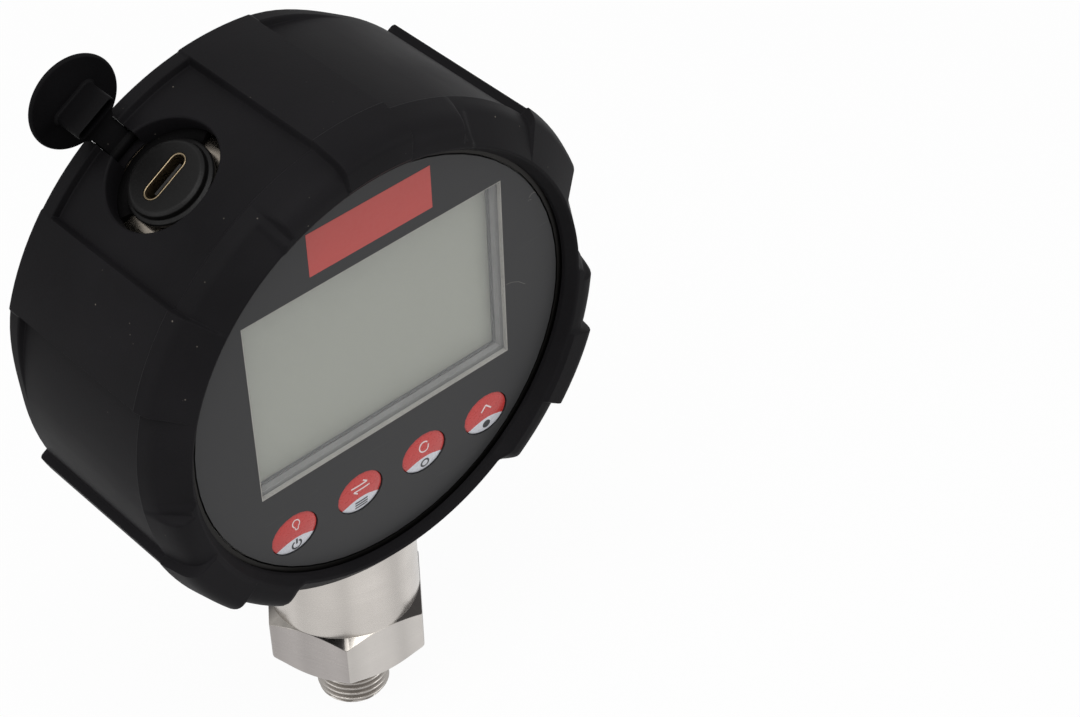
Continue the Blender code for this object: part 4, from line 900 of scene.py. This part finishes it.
def make_plug():
    """The rubber plug: a domed disc with a rolled rim, a hollow stub, a strap and its bead."""
    back = 1.55 * MM
    thick = 0.9 * MM
    radius = 8.0 * MM
    disc_place = PIVOT @ Matrix.Translation((0, -back, PLUG_ARM)) @ Matrix.Rotation(math.pi / 2, 4, "X")
    plug = turned("plug", (
        (1e-7, 0.10 * MM, 0),
        (radius - 2.2 * MM, 0.06 * MM, 0.002),
        (radius - 0.35 * MM, 0.0, 0.0004),
        (radius, 0.30 * MM, 0.0003),
        (radius - 0.05 * MM, 0.65 * MM, 0.0003),
        (radius - 0.6 * MM, thick - 0.04 * MM, 0.0005),
        (1e-7, thick, 0),
    ), disc_place, LOOKS["plug"], 96, steps=5)
    tip = STUB_LENGTH - back
    sections = (
        (-back - 0.45 * MM, 0.5), (-back, 0.44), (-back + 0.10 * MM, 0.20), (-back + 0.20 * MM, 0.04),
        (-back + 0.5 * MM, -0.02), (1.4 * MM, -0.02), (2.6 * MM, -0.02),
        (tip - 0.15 * MM, -0.03), (tip, -0.08),
    )
    outer = [[(x, y, z) for x, z in stub_outline(y, -flare * MM)] for y, flare in sections]
    stub = loft("stub_form", outer, PIVOT)
    inner = []
    for y in (-back + 0.5 * MM, 0.0, 1.5 * MM, tip - 0.1 * MM, tip + 0.5 * MM):
        share = min(max((y + back) / STUB_LENGTH, 0.0), 1.0)
        wall = (0.45 - 0.23 * share) * MM
        inner.append([(x, y, z) for x, z in stub_outline(y, wall)])
    hollow = loft("stub_hollow", inner, PIVOT)
    strap = make_strap()
    bead = turned("bead_form", (
        (1e-7, -4 * MM, 0), (1.0 * MM, -4 * MM, 0.0003), (1.0 * MM, 4 * MM, 0.0003), (1e-7, 4 * MM, 0),
    ), PIVOT @ Matrix.Rotation(math.pi / 2, 4, "Y"), None, 24)
    carve(plug, [stub, strap, bead], "UNION", sharp=50)
    carve(plug, [hollow], sharp=50)
    even_shading(plug)
    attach(plug, "port_plug")
    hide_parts("port_plug")


def make_strap():
    """The strap from the bead to the disc, on a smooth curve, wider where it meets the disc."""
    controls = (Vector((0, 0)), Vector((-0.15, 1.7)), Vector((-1.9, 2.7)), Vector((-2.0, 5.4)))
    loops = []
    steps = 10
    for k in range(steps + 1):
        t = k / steps
        s = 1 - t
        weights = (s ** 3, 3 * t * s ** 2, 3 * t ** 2 * s, t ** 3)
        slopes = (-3 * s ** 2, 3 * s ** 2 - 6 * t * s, 6 * t * s - 3 * t ** 2, 3 * t ** 2)
        middle = sum((w * c for w, c in zip(weights, controls)), Vector((0, 0)))
        ahead = sum((w * c for w, c in zip(slopes, controls)), Vector((0, 0))).normalized()
        across = Vector((ahead.y, -ahead.x))
        half = 0.5 - 0.12 * ease((t - 0.5) / 0.5)
        wide = 2.42 + 0.7 * ease((middle.y - 4.15) / 0.6)
        corners = ((-wide, -half, 0.25), (wide, -half, 0.25), (wide, half, 0.25), (-wide, half, 0.25))
        loop = []
        for x, lift in filleted(corners):
            point = middle + across * lift
            loop.append((x * MM, point.x * MM, point.y * MM))
        loops.append(loop)
    return loft("strap_form", loops, PIVOT)


# Front print, keys and display, with bare numbers in millimetres

INK_DEPTH = 0.06


def stroke(path, width, closed=False):
    """The two edges of a line of even width along a path."""
    left, right = [], []
    count = len(path)
    for k in range(count):
        before = path[k - 1] if k or closed else path[k]
        after = path[(k + 1) % count] if k < count - 1 or closed else path[k]
        ahead = Vector((after[0] - before[0], after[1] - before[1])).normalized()
        side = Vector((-ahead.y, ahead.x)) * width / 2
        left.append((path[k][0] + side.x, path[k][1] + side.y))
        right.append((path[k][0] - side.x, path[k][1] - side.y))
    return left, right


def arc(x, y, radius, start, end, steps=20):
    """Points on an arc."""
    points = []
    for k in range(steps + 1):
        angle = math.radians(start + (end - start) * k / steps)
        points.append((x + radius * math.cos(angle), y + radius * math.sin(angle)))
    return points


def line(x1, y1, x2, y2, steps=4):
    """Points on a straight line."""
    return [(x1 + (x2 - x1) * k / steps, y1 + (y2 - y1) * k / steps) for k in range(steps + 1)]


def inked(name, paths, place, look, height, proud=0.012):
    """A thin printed mark made of strokes, each (path, width, closed), laid on a surface."""
    bm = bmesh.new()
    for path, width, closed in paths:
        left, right = stroke(path, width, closed)
        rings = []
        for edge_a, edge_b in zip(left, right):
            ring = []
            for (x, y), down in ((edge_a, 0), (edge_b, 0), (edge_b, INK_DEPTH), (edge_a, INK_DEPTH)):
                ring.append(bm.verts.new((x * MM, y * MM, (height(x, y) + proud - down) * MM)))
            rings.append(ring)
        pairs = list(zip(rings, rings[1:] + rings[:1])) if closed else list(zip(rings, rings[1:]))
        for near, far in pairs:
            for k in range(4):
                after = (k + 1) % 4
                bm.faces.new((near[k], near[after], far[after], far[k]))
        if not closed:
            bm.faces.new(rings[0])
            bm.faces.new(rings[-1])
    return from_bmesh(name, bm, place, look)


KEY_MARKS = (
    (
        ((arc(0.35, 2.05, 0.72, -62, 242), 0.20, False), (line(0.05, 1.32, 0.05, 0.95), 0.18, False),
         (line(0.65, 1.32, 0.65, 0.95), 0.18, False), (line(0.05, 0.86, 0.65, 0.86), 0.20, False)),
        ((arc(0.1, -2.5, 0.92, 120, 420), 0.36, False), (line(0.1, -2.3, 0.1, -1.15), 0.36, False)),
    ),
    (
        ((line(-1.9, 1.75, 1.4, 1.75), 0.26, False), (line(0.7, 2.35, 1.5, 1.75), 0.26, False),
         (line(-1.4, 0.85, 1.9, 0.85), 0.26, False), (line(-0.7, 0.25, -1.5, 0.85), 0.26, False)),
        ((line(-1.3, -1.75, 1.3, -1.75), 0.34, False), (line(-1.3, -2.35, 1.3, -2.35), 0.34, False),
         (line(-1.3, -2.95, 1.3, -2.95), 0.34, False)),
    ),
    (
        ((arc(0, 1.35, 1.0, 40, 320), 0.26, False), (line(0.78, 0.75, 0.95, 1.5), 0.26, False)),
        ((arc(0, -2.3, 0.78, 0, 342, 18), 0.36, True),),
    ),
    (
        ((line(-1.1, 0.85, 0.0, 1.95), 0.28, False), (line(0.0, 1.95, 1.1, 0.85), 0.28, False)),
        ((arc(0, -2.3, 0.42, 0, 342, 18), 0.84, True),),
    ),
)
KEY_PLACES = [(x, -23.6) for x in (-20.565, -6.855, 6.855, 20.565)]
KEY_HALF = (4.6, 3.85)
KEY_EDGE = -0.28
KEY_RISE = 0.45
KEY_STRIPS = 24


def key_height(x, y):
    """The height of a key's domed top at a point of it."""
    reach = (x / KEY_HALF[0]) ** 2 + (y / KEY_HALF[1]) ** 2
    return KEY_EDGE + KEY_RISE * max(1 - reach, 0.0) ** 0.75


def split_height(x):
    """The arched line on a key where red meets white."""
    return -0.85 - 0.085 * x * x


def make_key(number):
    """One domed key in two colours, with its marks."""
    x0, y0 = KEY_PLACES[number]
    place = DIAL @ Matrix.Translation((x0 * MM, y0 * MM, 0))
    half_x, half_y = KEY_HALF
    bm = bmesh.new()
    rings = []
    count = 72
    for share in (1.0, 0.985, 0.95, 0.88, 0.78, 0.66, 0.54, 0.42, 0.30, 0.18, 0.08):
        ring = []
        for x, y in circle(1.0, count):
            px, py = x * half_x * share, y * half_y * share
            ring.append(bm.verts.new((px * MM, py * MM, key_height(px, py) * MM)))
        rings.append(ring)
    for near, far in zip(rings, rings[1:]):
        for k in range(count):
            after = (k + 1) % count
            bm.faces.new((near[k], near[after], far[after], far[k]))
    bm.faces.new(rings[-1])
    base = [bm.verts.new((v.co.x, v.co.y, -1.25 * MM)) for v in rings[0]]
    for k in range(count):
        after = (k + 1) % count
        bm.faces.new((base[k], base[after], rings[0][after], rings[0][k]))
    bm.faces.new(base[::-1])
    for step in range(KEY_STRIPS):
        x1 = -half_x + 2 * half_x * step / KEY_STRIPS
        x2 = -half_x + 2 * half_x * (step + 1) / KEY_STRIPS
        y1, y2 = split_height(x1), split_height(x2)
        faces = [f for f in bm.faces if x1 * MM - 1e-5 <= f.calc_center_median().x <= x2 * MM + 1e-5]
        along = Vector((x2 - x1, y2 - y1, 0)).normalized()
        geometry = set(faces)
        for face in faces:
            geometry.update(face.edges)
            geometry.update(face.verts)
        bmesh.ops.bisect_plane(bm, geom=list(geometry), dist=1e-7, plane_co=(x1 * MM, y1 * MM, 0),
                               plane_no=(-along.y, along.x, 0))
    for face in bm.faces:
        centre = face.calc_center_median() / MM
        face.material_index = 0 if centre.y > split_height(centre.x) else 1
    cap = from_bmesh(f"cap_{number + 1}", bm, place, LOOKS["red"], sharp=40)
    cap.data.materials.append(LOOKS["white"])

    upper, lower = KEY_MARKS[number]
    upper_mark = inked(f"mark_upper_{number + 1}", upper, place, LOOKS["pale"], key_height)
    lower_mark = inked(f"mark_lower_{number + 1}", lower, place, LOOKS["ink"], key_height)
    post = turned(f"key_stem_{number + 1}", (
        (1e-7, -4.9 * MM, 0), (1.6 * MM, -4.9 * MM, 0.0002), (1.6 * MM, -1.75 * MM, 0), (1e-7, -1.75 * MM, 0),
    ), place, LOOKS["red"], 32)
    flange_shape = [(x * (half_x + 0.8) * MM, y * (half_y + 0.8) * MM) for x, y in circle(1.0, 48)]
    flange = prism(f"key_flange_{number + 1}", flange_shape, -1.8 * MM, -1.3 * MM, place, LOOKS["red"])
    for piece in (cap, upper_mark, lower_mark, post, flange):
        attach(piece, f"key_{number + 1}")
    for piece in (cap, post, flange):
        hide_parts(f"key_{number + 1}")


WINDOW_HALF_WIDTH = 26.05
WINDOW_LOW = 5.2 - 17.95
WINDOW_HIGH = 5.2 + 17.95
SCRATCHES = (
    ([(26.2, 1.5), (27.6, 1.2), (29.0, 0.5), (30.4, -0.8)], 0.09, False),
    ([(31.9, 16.5), (32.4, 16.9), (32.9, 17.0), (33.3, 16.8)], 0.12, False),
    ([(31.6, 15.9), (32.0, 16.0), (32.4, 15.8)], 0.08, False),
)


def window_strip(name, insets, low, high, look):
    """A strip round the inside of the window, between two insets and two heights."""
    outer, inner = insets
    ring = []
    for inset, z in ((outer, low), (outer, high), (inner, high), (inner, low)):
        corners = rectangle(inset - WINDOW_HALF_WIDTH, WINDOW_HALF_WIDTH - inset,
                            WINDOW_LOW + inset, WINDOW_HIGH - inset)
        ring.append([(x * MM, y * MM, z * MM) for x, y in corners])
    return loft(name, ring, DIAL, LOOKS[look], ring=True)


def make_front():
    """The red label and the marks of wear on the front sheet, the window's edges and the display's film."""
    label_shape = rectangle(-12.55 * MM, 11.95 * MM, 25.6 * MM, 33.8 * MM)
    label = prism("label", label_shape, -0.10 * MM, 0.02 * MM, DIAL, LOOKS["label"])
    edge = window_strip("window_edge", (0.02, 0.16), -0.85, -0.02, "edge")
    # Painted shadow: a black strip lining the window's wall stands in for the thin shadow between the
    # display's film and the wall.
    shadow_strip = window_strip("painted_shadow_strip", (0.62, 0.98), -2.85, -2.35, "seal")
    wear = inked("scratches", SCRATCHES, DIAL, LOOKS["scratch"], lambda x, y: 0.0, 0.008)
    low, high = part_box("lcd_glass")
    centre_x = (low[0] + high[0]) / 2
    middle = (low[2] + high[2]) / 2 - DIAL_HEIGHT
    half_w = (high[0] - low[0]) / 2 - 0.9 * MM
    half_h = (high[2] - low[2]) / 2 - 0.9 * MM
    front = -(low[1] + STEM_DEPTH)
    film_shape = rectangle(centre_x - half_w, centre_x + half_w, middle - half_h, middle + half_h)
    film = prism("display_film", film_shape, front - 0.05 * MM, front + 0.20 * MM, DIAL, LOOKS["film"])
    for piece, slot in ((label, "front_sheet"), (edge, "clear_window"), (shadow_strip, "seal_rubber"),
                        (wear, "front_sheet"), (film, "display_glass")):
        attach(piece, BODY)


# Finishes of the nodes that stay as they are

NODE_LOOKS = {
    "case": ("case_cup",),
    "bezel": ("bezel_ring",),
    "sheet": ("front_overlay",),
    "pane": ("window_lens",),
    "film": ("lcd_glass",),
    "housing": ("front_housing",),
    "black": ("processor_chip", "usb_insert"),
    "grey": ("display_frame", "board_connector", "battery_cradle", "tact_switch_1", "tact_switch_2",
             "tact_switch_3", "tact_switch_4"),
    "light": ("backlight_panel",),
    "circuit": ("main_board", "port_board", "sensor_board"),
    "seal": ("housing_seal", "port_seal", "stem_seal", "sensor_seal"),
    "steel": ("sensor_cell", "board_screw_1", "board_screw_2", "board_screw_3", "board_screw_4"),
    "brass": ("port_nut", "stem_nut", "sensor_retainer"),
    "wrap": ("battery_cell",),
    "jacket": ("sensor_cable",),
}


def dress_nodes():
    """Gives each carried-over node its material."""
    for look, nodes in NODE_LOOKS.items():
        for node in nodes:
            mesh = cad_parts[node].data
            mesh.materials.clear()
            mesh.materials.append(LOOKS[look])


# Stage

def soft_lamp(name, place, aim, size, power):
    """A square area lamp pointed at the gauge."""
    lamp = bpy.data.lights.new(name, "AREA")
    lamp.shape = "SQUARE"
    lamp.size = size
    lamp.energy = power
    holder = bpy.data.objects.new(name, lamp)
    bpy.context.collection.objects.link(holder)
    holder.location = place
    holder.rotation_euler = (Vector(aim) - Vector(place)).to_track_quat("-Z", "Y").to_euler()


def seen_as_white(tree, shaded, share, kind):
    """Mixes white into a surface for camera, glossy and transmission rays only."""
    rays = tree.nodes.new("ShaderNodeLightPath")
    steps = []
    for operation in ("MAXIMUM", "MAXIMUM", "MULTIPLY"):
        step = tree.nodes.new("ShaderNodeMath")
        step.operation = operation
        steps.append(step)
    first, second, scale = steps
    scale.inputs[1].default_value = share
    white = tree.nodes.new(kind)
    white.inputs["Strength"].default_value = 1.0
    white.inputs["Color"].default_value = (1, 1, 1, 1)
    mix = tree.nodes.new("ShaderNodeMixShader")
    tree.links.new(rays.outputs["Is Camera Ray"], first.inputs[0])
    tree.links.new(rays.outputs["Is Glossy Ray"], first.inputs[1])
    tree.links.new(first.outputs[0], second.inputs[0])
    tree.links.new(rays.outputs["Is Transmission Ray"], second.inputs[1])
    tree.links.new(second.outputs[0], scale.inputs[0])
    tree.links.new(scale.outputs[0], mix.inputs[0])
    tree.links.new(shaded, mix.inputs[1])
    tree.links.new(white.outputs[0], mix.inputs[2])
    return mix.outputs[0]


def make_stage():
    """The pale floor at the thread's end, the world and the lamps."""
    bm = bmesh.new()
    bmesh.ops.create_grid(bm, x_segments=1, y_segments=1, size=6.0)
    floor = from_bmesh("floor", bm, Matrix.Translation((0, 0, CAD_BOUNDS[0][2] - 0.0002)))
    look = Look("pale_floor", (0.90, 0.90, 0.90), 0.8, specular=0.2)
    output = look.tree.nodes["Material Output"]
    pale = seen_as_white(look.tree, look.shader.outputs[0], 0.96, "ShaderNodeEmission")
    look.wire(pale, output.inputs["Surface"])
    floor.data.materials.append(look.material)

    world = bpy.data.worlds.new("studio")
    bpy.context.scene.world = world
    world.use_nodes = True
    tree = world.node_tree
    back = tree.nodes["Background"]
    back.inputs["Color"].default_value = (0.97, 0.98, 1.0, 1)
    back.inputs["Strength"].default_value = 0.26
    output = tree.nodes["World Output"]
    pale = seen_as_white(tree, back.outputs[0], 1.0, "ShaderNodeBackground")
    tree.links.new(pale, output.inputs["Surface"])

    aim = (0, -0.01, 0.06)
    soft_lamp("key_light", (-0.25, -0.25, 0.95), aim, 0.7, 5.6)
    soft_lamp("front_light", (0.55, -0.75, 0.35), aim, 0.5, 2.2)
    soft_lamp("side_light", (-0.85, 0.05, 0.35), aim, 0.5, 1.5)
    bpy.context.scene.view_settings.view_transform = "Standard"


def make_camera():
    """The camera at the photo's place and angle."""
    lens = bpy.data.cameras.new("camera")
    lens.lens = CAMERA_LENS
    lens.sensor_width = SENSOR_WIDTH
    lens.clip_start = 0.01
    camera = bpy.data.objects.new("camera", lens)
    bpy.context.collection.objects.link(camera)
    camera.location = CAMERA_PLACE
    camera.rotation_euler = Euler([math.radians(turn) for turn in CAMERA_TURN])
    bpy.context.scene.camera = camera


make_camera()
make_stage()
dress_nodes()
make_boot()
make_stem()
make_port()
make_plug()
for key_number in range(4):
    make_key(key_number)
make_front()
